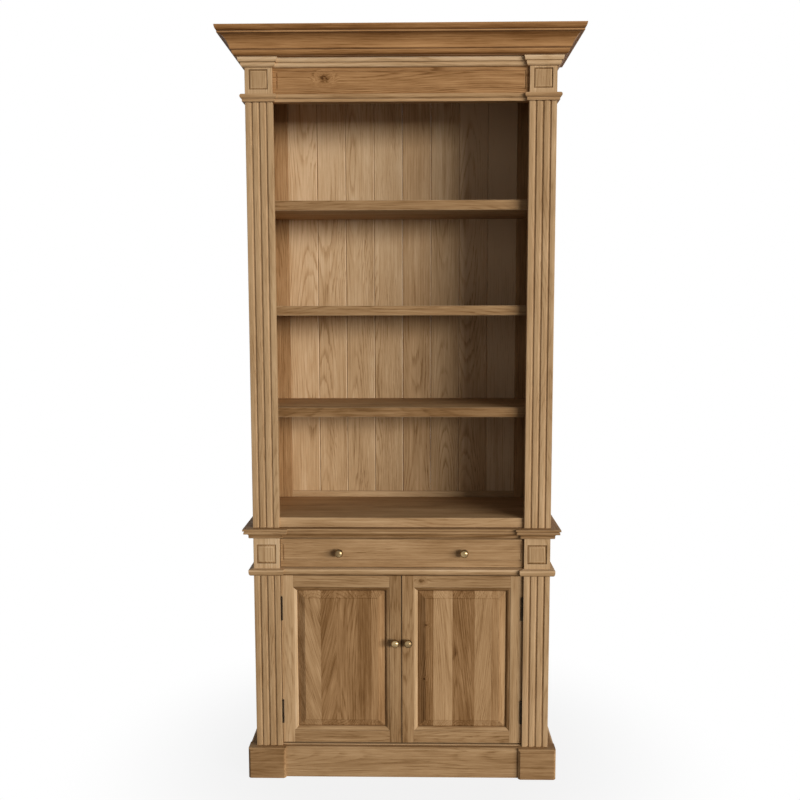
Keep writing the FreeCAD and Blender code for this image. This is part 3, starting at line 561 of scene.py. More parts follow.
# %% [markdown]
# ## The carcass
# The flat boards come first: sides, linings, shelves, floors and rails. The grain runs
# along the length of each. Their front arrises are eased by about a millimetre, and that
# soft corner is what catches the light along a shelf. Boards that run across the case
# pass behind the pilasters, or carry an ear over them. A cube with a Bevel modifier would
# do for one board, but it keeps no mark of how worn each arris is.

# %% Boards of the upper case


def wide_board(low, high, end_front, end_back, painted_front_light=0.0, seed=0):
    """A board across the case whose ends pass behind the pilasters, all one plank.

    The number after the ends is painted light on the front edge: painted shade below
    zero and a painted highlight above.
    Formula: each end's place in the log is its own point + the middle's constant shift."""
    look = dict(tone=-0.02, warm=0.1, soft=1.5)
    middle = plank((-OPENING,) + low[1:], (OPENING,) + high[1:], 0, seed=seed, **look)
    shift = middle[2][0] - middle[0][0]
    parts = [middle]
    for left, right in ((low[0], -OPENING), (OPENING, high[0])):
        points, faces, _, finish = plank((left, end_front, low[2]),
                                         (right, end_back, high[2]), 0, **look)
        parts.append((points, faces, points + shift, finish))
    for points, _, _, finish in parts:
        finish[points[:, 1] < (low[1] + 0.5) * MM, 0] += painted_front_light
    return parts


def eared_board(low, high, ear_soft, seed):
    """A board across the case from one height to another, with an ear on each pilaster."""
    return [plank((-SIDE, FRONT + 0.01, low), (SIDE, BACK, high), 0, seed=seed),
            plank((-SIDE, FACE, low), (-OPENING, FRONT, high), 0, soft=ear_soft,
                  seed=seed + 1),
            plank((OPENING, FACE, low), (SIDE, FRONT, high), 0, soft=ear_soft,
                  seed=seed + 2)]


SHELF_FRONT, SHELF_THICK = -105.0, 31.0
# The shelves' fronts take painted shade and the bottom board's front a painted highlight.
for name, share, painted_front_light, seed in (("shelf_low", 0.2718, -0.24, 11),
                               ("shelf_middle", 0.5216, -0.10, 12),
                               ("shelf_high", 0.7745, -0.13, 13)):
    level = BASE_TOP + share * (FRIEZE - BASE_TOP)
    show(name, wide_board((-HOUSED, SHELF_FRONT, level - SHELF_THICK),
                          (HOUSED, BOARDS, level), SHELF_FRONT, STILE, painted_front_light, seed))
show("upper_bottom_board", wide_board((-INSIDE, FRONT, LOWER_TOP),
                                      (INSIDE, BOARDS, BASE_TOP), WALL, BOARDS, 0.1, 14))
for node, seed, board in (
        ("upper_side_right", 21, plank((INSIDE, WALL, LOWER_TOP), (SIDE, BACK, COVER), 2)),
        ("back_stile_right", 22, plank((OPENING, STILE, BASE_TOP),
                                       (INSIDE, BOARDS, CEILING), 2, -0.12, 0.3)),
        ("lower_side_right", 23, plank((INSIDE, WALL, 0), (SIDE, BACK, HEAD), 2)),
        ("lower_lining_right", 24, plank((OPENING, WALL, FLOOR_TOP), (416, BOARDS, HEAD),
                                         2))):
    points, faces, grain, finish = board
    board = (points, faces, grain + [seed, 0.02 * seed - 0.45, 0], finish)
    show(node, [board])
    show(node.replace("right", "left"), [mirror_x(board)])
show("upper_ceiling", [plank((-HOUSED, FIELD_BACK, CEILING), (HOUSED, BOARDS, CEILING + 18),
                             0, warm=0.1, seed=31)])
show("top_cover", eared_board(COVER, TOP, 0.5, 32))
show("cornice_packing", [plank((-OPENING, FACE, CORNICE), (OPENING, FRONT - 0.01, TOP), 0,
                               soft=0.5, seed=35)])
foot = [(0, 0), (8, 0), (8, 18), (5, 21), (0, 21)]
show("back_foot_rail", [carried(foot, (-OPENING, BOARDS, BASE_TOP),
                                (OPENING, BOARDS, BASE_TOP), (0, -1, 0), (0, 0, 1),
                                tone=0.05, seed=36)])
print("upper boards:", len(made))

# %% Boards of the lower case
LIP_FRONT, DRAWER_FOOT, DRAWER_HEAD = -136.0, 706.5, 803.0
show("cupboard_floor",
     [plank((-INSIDE, WALL, FLOOR_LOW), (INSIDE, BOARDS, FLOOR_TOP), 0, seed=41),
      plank((-BLOCK_IN, LIP_FRONT, FLOOR_LOW), (BLOCK_IN, WALL, PLINTH), 0, seed=42),
      plank((-OPENING, LIP_FRONT, PLINTH - 0.2), (OPENING, WALL, FLOOR_TOP), 0, seed=42)])
show("cupboard_shelf", [plank((-404, -83, 386), (404, BOARDS, 404), 0, soft=1.5, seed=43)])
# The upper rail is painted darker: it shows only as a strip in the shade under the waist
# moulding.
show("drawer_rails",
     [plank((-OPENING, FRONT, BAND), (OPENING, RAIL_BACK, DRAWER_FOOT), 0, seed=44),
      plank((-OPENING, FRONT, DRAWER_HEAD), (OPENING, RAIL_BACK, HEAD), 0, -0.3, seed=45)])
runners = [plank((378, RAIL_BACK, 688.5), (OPENING, BOARDS, DRAWER_FOOT), 1, seed=46),
           plank((378, RAIL_BACK, DRAWER_HEAD), (OPENING, BOARDS, HEAD), 1, seed=47)]
show("drawer_runners", runners + mirrored(runners))
show("lower_top_board", eared_board(HEAD, LOWER_TOP, 1.0, 48))
show("plinth_back", [plank((-INSIDE, 198, 0), (INSIDE, 216, FLOOR_LOW), 0, seed=51)])
print("boards:", len(made))

# %% [markdown]
# ## The boarded back
# Eight boards stand side by side with a small V where they meet. Each is a separate plank
# with its own tone and its own place in the log, as on the real back, so no two show the
# same arches. One wide board with painted grooves would look printed.

# %% Back boards
BOARD_WIDTH = 99.5
# The last two boards stand in the shade behind the right of the frame; their higher tones and
# their faster rise with height are painted light.
board_tones = (0.25, 0.20, 0.17, 0.14, 0.09, 0.14, 0.25, 0.42)
board_warmth = (0.1, 0.05, 0.0, 0.0, 0.1, 0.0, 0.1, 0.0)
board_light_rise = (0.14,) * 6 + (0.28,) * 2


def back_boards(low, high, seed):
    """Eight planks whose front corners are cut back by 2 to make the V.

    The cut on the right of each board faces the lamp and takes a painted highlight; the cut
    on the left takes painted shade. Painted light makes the tone rise with height, by the
    board's rise for each metre from 1.35 metres up."""
    parts = []
    edges = [-INSIDE] + [BOARD_WIDTH * i - OPENING for i in range(1, 8)] + [INSIDE]
    for index, (left, right) in enumerate(zip(edges, edges[1:])):
        width = right - left
        # Painted shade on the left cut, a painted highlight on the right cut that faces the
        # lamp.
        outline = [(0.1, 2, -0.3), (2, 0, -0.15), (4, 0), (width - 3, 0), (width - 2, 0, 0.2),
                   (width - 0.1, 2, 0.3), (width - 0.1, 12), (0.1, 12)]
        part = carried(outline, (left, BOARDS, low), (left, BOARDS, high), (1, 0, 0),
                       (0, 1, 0), tone=board_tones[index], warm=board_warmth[index],
                       soft=0.3, seed=seed + index)
        # Painted light: each board grows paler towards the top.
        part[3][:, 0] += board_light_rise[index] * (part[0][:, 2] - 1.35)
        parts.append(part)
    return parts


show("upper_back_boards", back_boards(LOWER_TOP, COVER, 60), flat_sawn)
show("lower_back_boards", back_boards(FLOOR_LOW, HEAD, 70), flat_sawn)
print("back boards:", 2 * len(board_tones))

# %% [markdown]
# ## Fluted pilasters
# Each pilaster is a flat board with three round-bottomed flutes. The outline across it is
# a straight line broken by half circles, carried up its height, so each flute is true from
# end to end. Cylinders cut out with a boolean would leave long thin faces, and a flute
# drawn only by bump has no shadow of its own.

# %% Pilasters


def fluted_outline():
    """Width and depth of a pilaster.

    Formula: flute points are centre + 4 (cos a, sin a) for a from 180 to 0 degrees."""
    angle = np.linspace(math.pi, 0, 13)
    points = [(0, 0)]
    for middle in (20.0, 42.5, 65.0):
        points += list(zip(middle + 4 * np.cos(angle), 4 * np.sin(angle)))
    return points + [(85, 0), (85, 25), (0, 25)]


for node, low, high, tone, seed in (
        ("upper_pilaster_right", LOWER_TOP, HIGH_BLOCK, 0.04, 81),
        ("upper_pilaster_left", LOWER_TOP, HIGH_BLOCK, 0.06, 82),
        ("lower_pilaster_right", PLINTH, LOW_BLOCK, 0.05, 83),
        ("lower_pilaster_left", PLINTH, LOW_BLOCK, -0.01, 84)):
    shaft = carried(fluted_outline(), (OPENING, FACE, low), (OPENING, FACE, high), (1, 0, 0),
                    (0, 1, 0), tone=tone, soft=0.9, seed=seed)
    show(node, [mirror_x(shaft) if node.endswith("left") else shaft])
print("points across a pilaster:", len(fluted_outline()))

# %% [markdown]
# ## Blocks, frieze and drawer front
# A narrow groove runs round each field, square on the outside and sloped on the inside.
# The rings of one nested rectangle give the whole face at once. A boolean cut could make
# the groove too, but here each ring also takes its own painted light: painted shade in the
# groove's corner and a painted highlight on the border and the slope's edge.

# %% Fielded boards


def grooved(low, high, inset, bevel, face, back, grain_axis, tone, warm, seed, groove_shade=0.0,
            wear_and_highlight=0.0):
    """A board with a groove round its field. inset is left, right, bottom, top.

    The two last numbers are painted light. The first is painted shade in the groove's
    corner, which paints it paler when below zero. The second is a painted highlight on the
    border and the slope's edge, and paints the field as much darker."""
    edge = 0.8
    inner = tuple(place + bevel for place in inset)
    # The rings' last numbers are painted light: a highlight on the border and the slope's
    # edge, shade in the groove's corner.
    rings = [(0, 0, 0, 0, face + edge), (edge, edge, edge, edge, face),
             inset + (face, wear_and_highlight), inset + (face + 3, -groove_shade), inner + (face, wear_and_highlight),
             tuple(place + 1.5 for place in inner) + (face, -wear_and_highlight)]
    return field(low, high, back, rings, grain_axis, tone, warm, seed)


def block_pair(low, high, inset, bevel, tones, seed):
    """The right and left block of a pair, each with its own tone."""
    # 0.55 paints shade into the grooves and 0.07 a highlight on the borders and slopes.
    right, left = [grooved(low, high, inset, bevel, FACE, WALL, 2, tone, 0.0, seed, 0.55,
                           0.07) for tone in tones]
    return [right, mirror_x(left)]


show("upper_blocks", block_pair((OPENING, HIGH_BLOCK), (SIDE, COVER), (13.5, 13.5, 26.5, 96),
                                6.5, (0.12, 0.12), 91), bevel=0.4)
show("lower_blocks", block_pair((OPENING, LOW_BLOCK), (SIDE, HEAD), (11, 11, 27.25, 34.5),
                                9.0, (0.11, 0.15), 92), bevel=0.4)
# A painted shade below zero paints the frieze's groove and the drawer front's groove paler.
show("frieze_board", [grooved((-OPENING, FRIEZE), (OPENING, COVER), (11, 11, 38, 101), 5.0,
                              FRONT, FIELD_BACK, 0, -0.1, 0.65, 93, -0.15)],
     knotted_frieze, bevel=0.4)
print("pieces so far:", len(made))

# %% Drawer
# Half width outside and inside, back, top, top of the bottom board.
WIDE, INNER, REAR, TALL, SLAB = 396.5, 384.5, 188.0, 801.5, 718.8
show("drawer_front", [grooved((-WIDE, 708), (WIDE, TALL), (7, 7, 22, 14.5), 5.0, FRONT,
                              FIELD_BACK, 0, -0.04, 0.15, 94, -0.1)], bevel=0.4)
sides = [plank((INNER, FIELD_BACK, 706.8), (WIDE, REAR, TALL), 1, 0.05, seed=95)]
show("drawer_sides", sides + mirrored(sides))
show("drawer_back", [plank((-INNER, 176, SLAB), (INNER, REAR, TALL), 0, 0.05, seed=96)])
show("drawer_bottom", [plank((-389.5, -117, 712.8), (389.5, REAR, SLAB), 0, 0.06, soft=0.5,
                             seed=97)])
print("pieces so far:", len(made))

# %% [markdown]
# ## Mouldings
# Each moulding is planed as one long profile and mitred round the case. It breaks forward
# over the pilasters, so a band has seven lengths. The cornice runs straight across and
# has three. Each length is carried along its own leg, and its ends are cut on the line
# where the next one meets it. A curve with a bevel profile would sweep the whole run in one
# piece, but it pinches the profile at sharp corners and gives every length the same grain.

# %% Curves and mitred runs
Z_UP = (0, 0, 1)


def lean(start, end, corner, share=0.41, steps=7):
    """Points of a curve that leans from its chord towards a corner.

    Formula: (1-t)^2 start + 2t(1-t) control + t^2 end, whose middle point is the chord's
    middle moved by that share towards the corner. A third number, the painted shade, goes
    along."""
    start, end, corner = (np.array((tuple(point) + (0.0,))[:3])
                          for point in (start, end, corner))
    middle = (start + end) / 2
    control = middle + 2 * share * (corner - middle)
    t = np.linspace(0, 1, steps + 1)[:, None]
    return list(map(tuple, (1 - t) ** 2 * start + 2 * t * (1 - t) * control + t ** 2 * end))


def mitred(profile, corners, up, tones, warm=0.0, soft=0.5, seed=0, closed=False):
    """Lengths of moulding along right-angled legs, each with its own tone and figure."""
    corners = [np.asarray(corner, float) for corner in corners]
    legs = len(corners) - (0 if closed else 1)
    ends = [(corners[i], corners[(i + 1) % len(corners)]) for i in range(legs)]
    ways = [(b - a) / np.linalg.norm(b - a) for a, b in ends]
    parts = []
    for i, (a, b) in enumerate(ends):
        out = np.cross(ways[i], up)
        first = last = 0
        if closed or i > 0:
            first = -1 if ways[i - 1] @ out > 0 else 1
        if closed or i < legs - 1:
            last = 1 if ways[(i + 1) % legs] @ out < 0 else -1
        parts.append(carried(profile, a, b, out, up, (first, last), tones[i % len(tones)],
                             warm, soft, seed + i, across=up))
    return parts


def round_case(z):
    """The plan of the case faces, broken forward over the pilasters."""
    return [(-SIDE, BACK, z), (-SIDE, FACE, z), (-OPENING, FACE, z), (-OPENING, FRONT, z),
            (OPENING, FRONT, z), (OPENING, FACE, z), (SIDE, FACE, z), (SIDE, BACK, z)]


print("corners round the case:", len(round_case(0)))

# %% Cornice and the four bands
# The third number in a profile row is painted light: painted shade in the hollows and on faces
# turned down or away from the lamp, a painted highlight on faces turned to it.
cornice = ([(0, 80.5)] + lean((77, 80.5, 0.12), (68.5, 62.5, -0.3), (77, 62.5), 0.28)
           + [(70, 61.5, 0.25), (70, 58, 0.1)]
           + lean((61.5, 57, -0.12), (37.5, 21.5, 0.22), (37.5, 57), 0.22)
           + [(37.5, 18, -0.15)] + lean((32.5, 16, 0.15), (23, 1.5, -0.3), (32.5, 1.5))
           + [(23, 0), (0, 0)])
bed = ([(0, 27.5, 0.3), (19, 27.5, 0.3), (16, 14.5), (10.5, 13.5, -0.1)]
       + lean((10.5, 8, 0.1), (4, 0), (10.5, 0)) + [(0, 0)])
neck = ([(0, 23), (11, 23, 0.15)] + lean((11, 23, 0.1), (11, 9.5, -0.1), (18, 16.25), 0.5)[1:]
        + [(8, 8.5), (8, 0), (0, 0)])
waist = ([(0, 33), (30, 33, 0.1), (30, 27), (25, 26.5, -0.25), (25, 23, 0.1), (27, 22.5, 0.1),
          (27, 16.5)] + lean((24.5, 16, -0.3), (13, 9.5, -0.1), (13, 16))
         + [(13, 2), (11, 0, -0.2), (0, 0, -0.2)])
drawer_band = ([(0, 22.5, 0.3), (2, 22.5, 0.3), (13, 20.5, 0.1), (15, 20, 0.15),
                (15, 15, 0.15)] + lean((15, 13, -0.05), (8, 0, -0.55), (15, 0)) + [(0, 0)])
straight = [(-SIDE, BACK, CORNICE), (-SIDE, FACE, CORNICE), (SIDE, FACE, CORNICE),
            (SIDE, BACK, CORNICE)]
left, front, right = mitred(cornice, straight, Z_UP, (-0.2,), 0.85, seed=100)
show("cornice_front", [front])
show("cornice_returns", [left, right])
for node, profile, low, tone, warm, seed in (
        ("bed_moulding", bed, 2292, 0.12, 0.05, 110),
        ("neck_moulding", neck, FRIEZE, 0.02, 0.2, 120),
        ("waist_moulding", waist, 809, -0.17, 0.1, 130),
        ("drawer_moulding", drawer_band, BAND, 0.05, 0.05, 140)):
    show(node, mitred(profile, round_case(low), Z_UP, (tone,), warm, seed=seed))
print("cornice stands out by", max(row[0] for row in cornice), "mm")

# %% [markdown]
# ## The plinth
# The two front blocks have a chamfer on three sides of the face. The front board sits back
# between them, and plain chamfered boards run down the sides. A Bevel modifier would
# chamfer the foot of a block as well; nested rectangles leave it square on the floor.

# %% Plinth
CUT = 6.5
block = field((BLOCK_IN, 0), (508, PLINTH), WALL,
              [(0, 0, 0, 0, -168 + CUT, 0.15), (CUT, CUT, 0, CUT, -168)], 0, -0.19, 0.1, 151)
show("plinth_blocks", [block, mirror_x(block)], bevel=0.6)
front = [(-7, 0), (13, 0), (13, 96), (7, PLINTH), (-7, PLINTH)]
show("plinth_front", [carried(front, (-BLOCK_IN, FACE, 0), (BLOCK_IN, FACE, 0), (0, -1, 0),
                              Z_UP, tone=-0.08, warm=0.05, seed=152, across=Z_UP)])
side = [(0, 0), (25, 0), (25, PLINTH - CUT), (25 - CUT, PLINTH), (0, PLINTH)]
side_board = carried(side, (SIDE, WALL, 0), (SIDE, BACK, 0), (1, 0, 0), Z_UP, seed=153,
                     across=Z_UP)
show("plinth_sides", [side_board, mirror_x(side_board)])
print("pieces so far:", len(made))

# %% [markdown]
# ## Doors
# Each door is a frame of two stiles and two rails, with a moulded edge mitred round the
# inside, and a panel that floats in a groove. The frame's grain turns at the joints, which
# tells the eye that it is real joinery. The panel is one surface, raised in a wide bevel
# to a small step and a flat field. It could be inset by hand, but as rows of inset and
# depth it stays easy to change. Painted shade darkens the front arris at the gap between
# the doors and at the top of each door under the drawer moulding.

# %% Door frames and panels
DOOR_FOOT, DOOR_HEAD, DOOR_BACK, DOOR_EDGE = 109.0, 681.0, -110.0, 396.5
LEFT_IN, RIGHT_IN, LOW_IN, HIGH_IN = 40.5, 357.0, 150.0, 640.0
# The third numbers in the sticking's outline are painted shade and a painted highlight.
sticking = ([(0, 22), (0, 1, -0.1)] + lean((0, 1, 0.1), (12.5, 9.5), (12.5, 1))[1:]
            + [(12.5, 22)])
loop = [(LEFT_IN, FRONT, HIGH_IN), (LEFT_IN, FRONT, LOW_IN), (RIGHT_IN, FRONT, LOW_IN),
        (RIGHT_IN, FRONT, HIGH_IN)]


def door_parts(tones, sticking_light, seed):
    """Stiles with their edge moulding, rails with theirs, and the panel.

    Tones go round as meeting stile, bottom rail, hinge stile and top rail. The edge
    moulding's lengths take painted light in the same order: paler where a length faces the
    lamp, darker where it faces away from it or down."""
    edges = mitred(sticking, loop, (0, 1, 0), sticking_light, 0.05, 0.4, seed, closed=True)
    # Painted shade darkens the meeting stile's front arris along the gap between the doors;
    # gloom paints the top of both stiles dark under the drawer moulding.
    meeting = [(0, 0, -0.7), (1.3, 0), (LEFT_IN - 1, 0), (LEFT_IN - 1, 22), (0, 22),
               (0, 3)]
    stiles = [carried(meeting, (1, FRONT, DOOR_FOOT), (1, FRONT, DOOR_HEAD), (1, 0, 0),
                      (0, 1, 0), tone=tones[0], warm=0.05, seed=seed + 5, gloom=0.5),
              plank((RIGHT_IN, FRONT, DOOR_FOOT), (DOOR_EDGE, DOOR_BACK, DOOR_HEAD), 2,
                    tones[2], 0.05, 1, seed + 6, 0.5), edges[0], edges[2]]
    # Painted shade darkens the top rail's front arris under the drawer moulding.
    under = [(0, 0), (38, 0), (41, 0, -0.5), (41, 3), (41, 22), (0, 22)]
    rails = [plank((LEFT_IN, FRONT, DOOR_FOOT), (RIGHT_IN, DOOR_BACK, LOW_IN), 0, tones[1],
                   0.05, 1, seed + 7),
             carried(under, (LEFT_IN, FRONT, HIGH_IN), (RIGHT_IN, FRONT, HIGH_IN), (0, 0, 1),
                     (0, 1, 0), tone=tones[3], warm=0.05, soft=1, seed=seed + 8), edges[1],
             edges[3]]
    # The rings' last numbers paint shade: a dark line at the foot of the moulded edge and a
    # faint one at the small step of the field.
    rings = [(inset,) * 4 + (FRONT + depth, shade) for inset, depth, shade in (
        (0, 10.7, -0.3), (8, 10.7, -0.3), (11, 9.5, 0), (31, 1.1, 0), (32.2, 0.6, -0.2),
        (32.2, 0, -0.1), (34, 0, 0))]
    play = 4.8
    panel = field((LEFT_IN + play, LOW_IN + play), (RIGHT_IN - play, HIGH_IN - play),
                  FRONT + 16.3, rings, 2, -0.06, 0.2, seed + 9)
    return stiles, rails, [panel]


# The second row of numbers for each door is painted light on the edge moulding.
for side_name, rail_finish, panel_finish, tones, sticking_light, seed in (
        ("right", knotted_rails, right_staves, (-0.13, -0.11, 0.05, -0.08),
         (0.12, -0.1, -0.3, -0.38), 160),
        ("left", oak, left_staves, (-0.17, -0.11, 0.06, -0.07), (-0.2, -0.1, 0.15, -0.38),
         180)):
    stiles, rails, panel = door_parts(tones, sticking_light, seed)
    if side_name == "left":
        stiles, rails, panel = mirrored(stiles), mirrored(rails), mirrored(panel)
    show(side_name + "_door_stiles", stiles)
    show(side_name + "_door_rails", rails, rail_finish)
    show(side_name + "_door_panel", panel, panel_finish, bevel=0.35)
print("pieces so far:", len(made))

# %% [markdown]
# ## Brass, iron and the small catches
# The knobs are turned brass that handling has left brighter in some patches and browner in
# others. The hinges are dark dull iron, the strikes zinc-plated steel and the catches
# moulded plastic. A picture of scratches would repeat. Noise in object space doesn't, and
# with it each knob of a pair wears differently.

# %% Metal and plastic finishes
tree, given, result = new_group(
    "Hand wear", [("Bright", "Color", (0.5, 0.35, 0.16, 1)),
                  ("Dull", "Color", (0.2, 0.12, 0.05, 1)), ("Scale", "Float", 60.0),
                  ("Smooth", "Float", 0.2), ("Rough", "Float", 0.45)],
    [("Color", "Color"), ("Roughness", "Float"), ("Height", "Float")])
hand_wear = tree
marks = add_node(tree, "TexNoise", {
    "Vector": add_node(tree, "TexCoord").outputs["Object"],
    "Scale": given.outputs["Scale"], "Detail": 5.0}).outputs["Fac"]
spread = fade(tree, marks, 0.38, 0.62, 0.0, 1.0)
dulled = add_node(tree, "Mix", {"Factor": spread, 6: given.outputs["Bright"],
                                7: given.outputs["Dull"]}, data_type="RGBA")
gap = maths(tree, "SUBTRACT", given.outputs["Rough"], given.outputs["Smooth"])
wire(tree, result, {
    "Color": dulled.outputs[2], "Height": marks,
    "Roughness": maths(tree, "MULTIPLY_ADD", gap, spread, given.outputs["Smooth"])})


def hand_finish(name, bright, dull, metallic, smooth, rough, scale, shine=0.5):
    """A metal or plastic with the shared hand wear and a fine uneven surface."""
    material, tree, shader = new_material(name)
    worn = add_node(tree, "Group", {"Bright": bright + (1,), "Dull": dull + (1,),
                                    "Scale": scale, "Smooth": smooth, "Rough": rough},
                    node_tree=hand_wear).outputs
    bump = add_node(tree, "Bump", {"Strength": 0.15, "Distance": 0.0003,
                                   "Height": worn["Height"]})
    wire(tree, shader, {"Base Color": worn["Color"], "Roughness": worn["Roughness"],
                        "Metallic": metallic, "Specular IOR Level": shine,
                        "Normal": bump.outputs["Normal"]})
    return material


brass = hand_finish("Handled brass", (0.38, 0.27, 0.135), (0.16, 0.105, 0.05), 1.0, 0.24,
                    0.42, 45.0)
iron = hand_finish("Hinge iron", (0.033, 0.021, 0.011), (0.017, 0.010, 0.005), 0.2, 0.6, 0.8,
                   120.0, 0.12)
steel = hand_finish("Zinc-plated steel", (0.55, 0.55, 0.53), (0.42, 0.42, 0.41), 1.0, 0.3,
                    0.45, 90.0)
catch_plastic = hand_finish("Brown plastic", (0.10, 0.06, 0.035), (0.075, 0.045, 0.026),
                            0.0, 0.45, 0.6, 150.0)
print("finishes:", brass.name, iron.name, steel.name, catch_plastic.name)

# %% [markdown]
# ## Knobs
# A knob is a turned piece: a thin rose against the wood, a short neck and a round head.
# It is lathed from one outline, with a soft curve into the neck, because that hollow holds
# the dark line that makes the head read as round.

# %% Knobs


def knob(x, z, depth):
    """A knob on the front plane, and its screw through wood of that depth.

    Formula: the head's outline is r = 13.8 sin(a)^0.86, h = 18.5 - 11 cos(a)."""
    rose = [(7.0, 0.02), (8.0, 0.5), (8.0, 1.9), (7.0, 2.5), (5.6, 2.7), (5.0, 3.6),
            (4.9, 6.0), (5.3, 7.4)]
    angle = np.linspace(0, math.pi, 15)[1:-1]
    head = [(13.8 * math.sin(a) ** 0.86, 18.5 - 11.0 * math.cos(a)) for a in angle]
    outline = rose + [row for row in head if row[1] > 8.4] + [(1.2, 29.45)]
    shank = [(2.0, 0.0), (2.0, depth + 0.5), (4.0, depth + 0.52), (4.0, depth + 1.6),
             (3.2, depth + 2.5)]
    return [lathe(outline, (x, FRONT, z), (0, -1, 0), 56),
            lathe(shank, (x, FRONT - 0.5, z), (0, 1, 0), 32)]


KNOB_X, KNOB_Z, PULL_X, PULL_Z = 21.5, 456, 203.7, 758.5
show("right_door_knob", knob(KNOB_X, KNOB_Z, 22), brass)
show("left_door_knob", knob(-KNOB_X, KNOB_Z, 22), brass)
show("drawer_knobs", knob(PULL_X, PULL_Z, 20) + knob(-PULL_X, PULL_Z, 20), brass)
print("pieces so far:", len(made))

# %% [markdown]
# ## Hinges and catches
# The butt hinges fold between the door's edge and the pilaster, so only their thin
# knuckles show. Each knuckle is a turned ring with eased ends, which keeps a dark line
# between one and the next. One long cylinder would be simpler, but it would lose that line.

# %% Hinges, strikes and catches
PIN_X, PIN_Y, HINGE, LEAF_BACK = 394.4, -135.5, 80.0, -119.0
PITCH, EASE = HINGE / 5, 0.15


def knuckle(low, high):
    """One knuckle of a hinge barrel, its ends eased."""
    tall = high - low
    return lathe([(2.6, 0), (3.2, 0.5), (3.2, tall - 0.5), (2.6, tall)],
                 (PIN_X, PIN_Y, low), (0, 0, 1), 28)


def strap(low, high, seed):
    """A thin flat piece of metal or plastic with eased edges."""
    return plank(low, high, 2, soft=0.3, seed=seed)


door_side, frame_side, pins = [], [], []
for middle in (217.0, 569.0):
    foot = middle - HINGE / 2
    spans = [(foot + PITCH * index + (EASE if index else 0),
              foot + PITCH * (index + 1) - (EASE if index < 4 else 0)) for index in range(5)]
    for leaf, ends, left, right, near, far, seed in (
            (frame_side, spans[::2], OPENING, 399.4, (395.2, -136.2), (399.4, -134.8), 201),
            (door_side, spans[1::2], 395.1, DOOR_EDGE, (395.1, -134.5), (DOOR_EDGE, FRONT),
             203)):
        leaf += [knuckle(*span) for span in ends]
        leaf += [strap((left, FRONT, foot), (right, LEAF_BACK, foot + HINGE), seed)]
        leaf += [strap(near + (low,), far + (high,), seed + 1) for low, high in ends]
    pins += [lathe([(1.2, EASE), (1.6, 0.5), (1.6, HINGE - 0.5), (1.2, HINGE - EASE)],
                   (PIN_X, PIN_Y, foot), (0, 0, 1), 20)]
show("hinge_frame_leaves", frame_side + mirrored(frame_side), iron)
show("hinge_pins", pins + mirrored(pins), iron)
show("right_door_hinge_leaves", door_side, iron)
show("left_door_hinge_leaves", mirrored(door_side), iron)
strike = strap((63, -111.5, 672), (93, DOOR_BACK, 680), 205)
show("right_door_strike", [strike], steel)
show("left_door_strike", [mirror_x(strike)], steel)
catch = plank((60, -109.7, 672), (96, -91.7, 684), 0, soft=1.2, seed=206)
show("door_catches", [catch, mirror_x(catch)], catch_plastic)
print("nodes with a piece:", len(made), "of", len(frame["nodes"]))

# %% [markdown]
# ## Floor, light and camera
# The bookcase stands on a plain pale floor under soft studio light. One large lamp stands
# in front, to the right and low, as in the photograph: its light reaches the left side of
# the back and leaves the right side dark behind the frame, and it draws the flutes and the
# grooves. The white around the object belongs to what the camera sees and to mirror-like
# reflections; a dim even light fills the shadows. The floor goes over to the same white
# a little way off, and near the plinth it keeps the shadow. Several smaller lamps would
# light the case more evenly, but the dark side behind the frame would be lost.

# %% Floor


def stage_floor(reach=9.0, rows=15, steps=48):
    """A shallow dish of floor.

    Formula: z = -0.0006 + 0.004 (r / 9)^4 for r to 9 metres, rounder than a single face."""
    ring = np.linspace(0.6, reach, rows)[:, None]
    angle = np.linspace(0, 2 * math.pi, steps, endpoint=False)
    x, y = ring * np.cos(angle), ring * np.sin(angle)
    z = -0.0006 + 0.004 * (ring / reach) ** 4 + 0 * x
    points = np.concatenate([[[0, 0, -0.0006]], np.stack([x, y, z], -1).reshape(-1, 3)])
    index = 1 + np.arange(rows * steps).reshape(rows, steps)
    beside = np.roll(index, -1, 1)
    faces = [[0, int(a), int(b)] for a, b in zip(index[0], beside[0])]
    quads = np.stack([index[:-1], index[1:], beside[1:], beside[:-1]], -1).reshape(-1, 4)
    mesh = bpy.data.meshes.new("floor")
    mesh.from_pydata(points.tolist(), [], faces + quads.tolist())
    mesh.shade_smooth()
    floor = bpy.data.objects.new("floor", mesh)
    bpy.context.scene.collection.objects.link(floor)
    return floor


def seen_directly(tree):
    """1 for rays of the camera, off a mirror and through glass, 0 for light on things."""
    path = add_node(tree, "LightPath").outputs
    seen = maths(tree, "MAXIMUM", path["Is Camera Ray"], path["Is Glossy Ray"])
    return maths(tree, "MAXIMUM", seen, path["Is Transmission Ray"])


floor = stage_floor()
pale, tree, shader = new_material("Pale floor")
wire(tree, shader, {"Base Color": (0.42, 0.42, 0.42, 1), "Roughness": 0.9,
                    "Specular IOR Level": 0.1})
away = vectors(tree, "LENGTH", add_node(tree, "TexCoord").outputs["Object"])
clear = fade(tree, away, 0.35, 1.2, 0.86, 1.0)
blend = add_node(tree, "MixShader", {0: maths(tree, "MULTIPLY", seen_directly(tree), clear),
                                     1: shader.outputs[0],
                                     2: add_node(tree, "Emission").outputs[0]})
wire(tree, tree.nodes["Material Output"], {"Surface": blend.outputs[0]})
floor.data.materials.append(pale)
print("floor points:", len(floor.data.vertices))

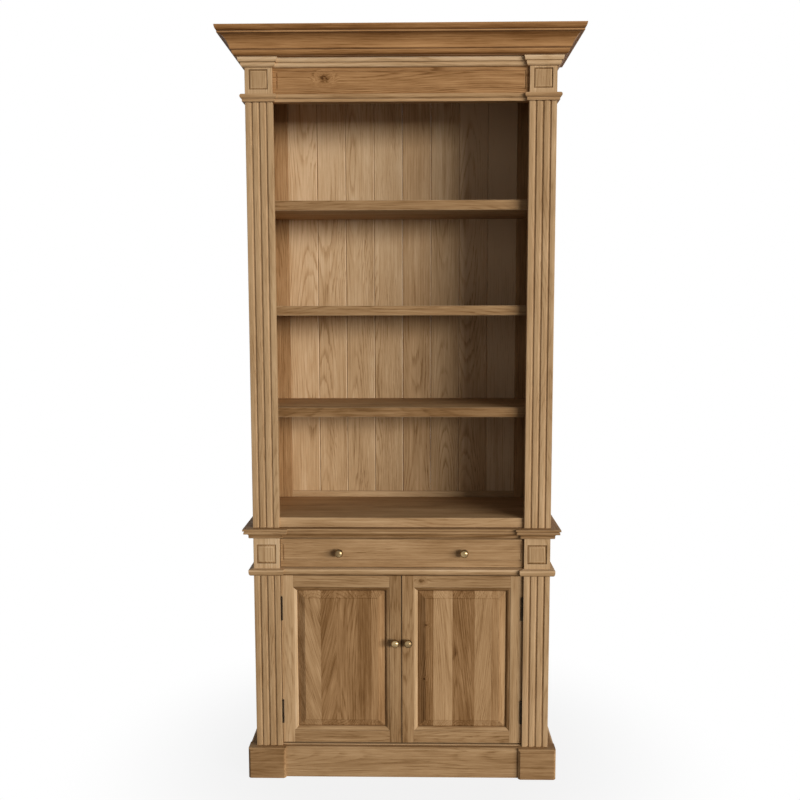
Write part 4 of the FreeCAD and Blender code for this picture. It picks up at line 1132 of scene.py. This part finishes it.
# %% World
world = bpy.data.worlds.new("Studio")
bpy.context.scene.world = world
world.use_nodes = True
tree = world.node_tree
tree.nodes.clear()
fill = add_node(tree, "Background", {"Color": (1.0, 0.97, 0.94, 1), "Strength": 0.118})
white = add_node(tree, "Background", {"Color": (1, 1, 1, 1), "Strength": 1.0})
both = add_node(tree, "MixShader", {0: seen_directly(tree), 1: fill.outputs[0],
                                    2: white.outputs[0]})
add_node(tree, "OutputWorld", {"Surface": both.outputs[0]})
print("world nodes:", len(tree.nodes))

# %% Lamps


def soft_lamp(name, place, target, size, power, color):
    """A rectangular area lamp that faces a target."""
    data = bpy.data.lights.new(name, "AREA")
    data.shape = "RECTANGLE"
    data.size, data.size_y = size
    data.energy = power
    data.color = color
    lamp = bpy.data.objects.new(name, data)
    way = Vector(target) - Vector(place)
    lamp.matrix_world = Matrix.Translation(place) @ way.to_track_quat("-Z", "Y") \
        .to_matrix().to_4x4()
    bpy.context.scene.collection.objects.link(lamp)
    return lamp


KEY_DISTANCE, KEY_TURN, KEY_HEIGHT = 20.0, math.radians(46), 4.0
key = soft_lamp("Key", (KEY_DISTANCE * math.sin(KEY_TURN), -KEY_DISTANCE * math.cos(KEY_TURN),
                        KEY_HEIGHT), (0, 0, 1.6), (13.6, 4.6), 5000, (1, 0.985, 0.96))
front_fill = soft_lamp("Front fill", (-3.0, -6.0, 2.6), (0, 0, 1.2), (3.0, 3.0), 18,
                       (1, 0.98, 0.96))
print("lamps in watts:", key.data.energy, front_fill.data.energy)

# %% The camera, fitted to the photograph
camera_data = bpy.data.cameras.new("Camera")
camera_data.lens = 40.96
camera_data.sensor_width = 36.0
camera_data.clip_end = 50.0
camera = bpy.data.objects.new("Camera", camera_data)
bpy.context.scene.collection.objects.link(camera)
yaw, pitch, roll = 0.0179, 0.1027, -0.0021
ahead = Vector((-math.sin(yaw) * math.cos(pitch), math.cos(yaw) * math.cos(pitch),
                -math.sin(pitch)))
level = Vector((math.cos(yaw), math.sin(yaw), 0))
upward = level.cross(ahead)
right = math.cos(roll) * level + math.sin(roll) * upward
top = -math.sin(roll) * level + math.cos(roll) * upward
turned = Matrix((right, top, -ahead)).transposed().to_4x4()
camera.matrix_world = Matrix.Translation((0.0481, -3.0369, 1.5574)) @ turned
bpy.context.scene.camera = camera
bpy.context.scene.view_settings.view_transform = "Standard"
print("camera stands at", [round(value, 3) for value in camera.matrix_world.translation])
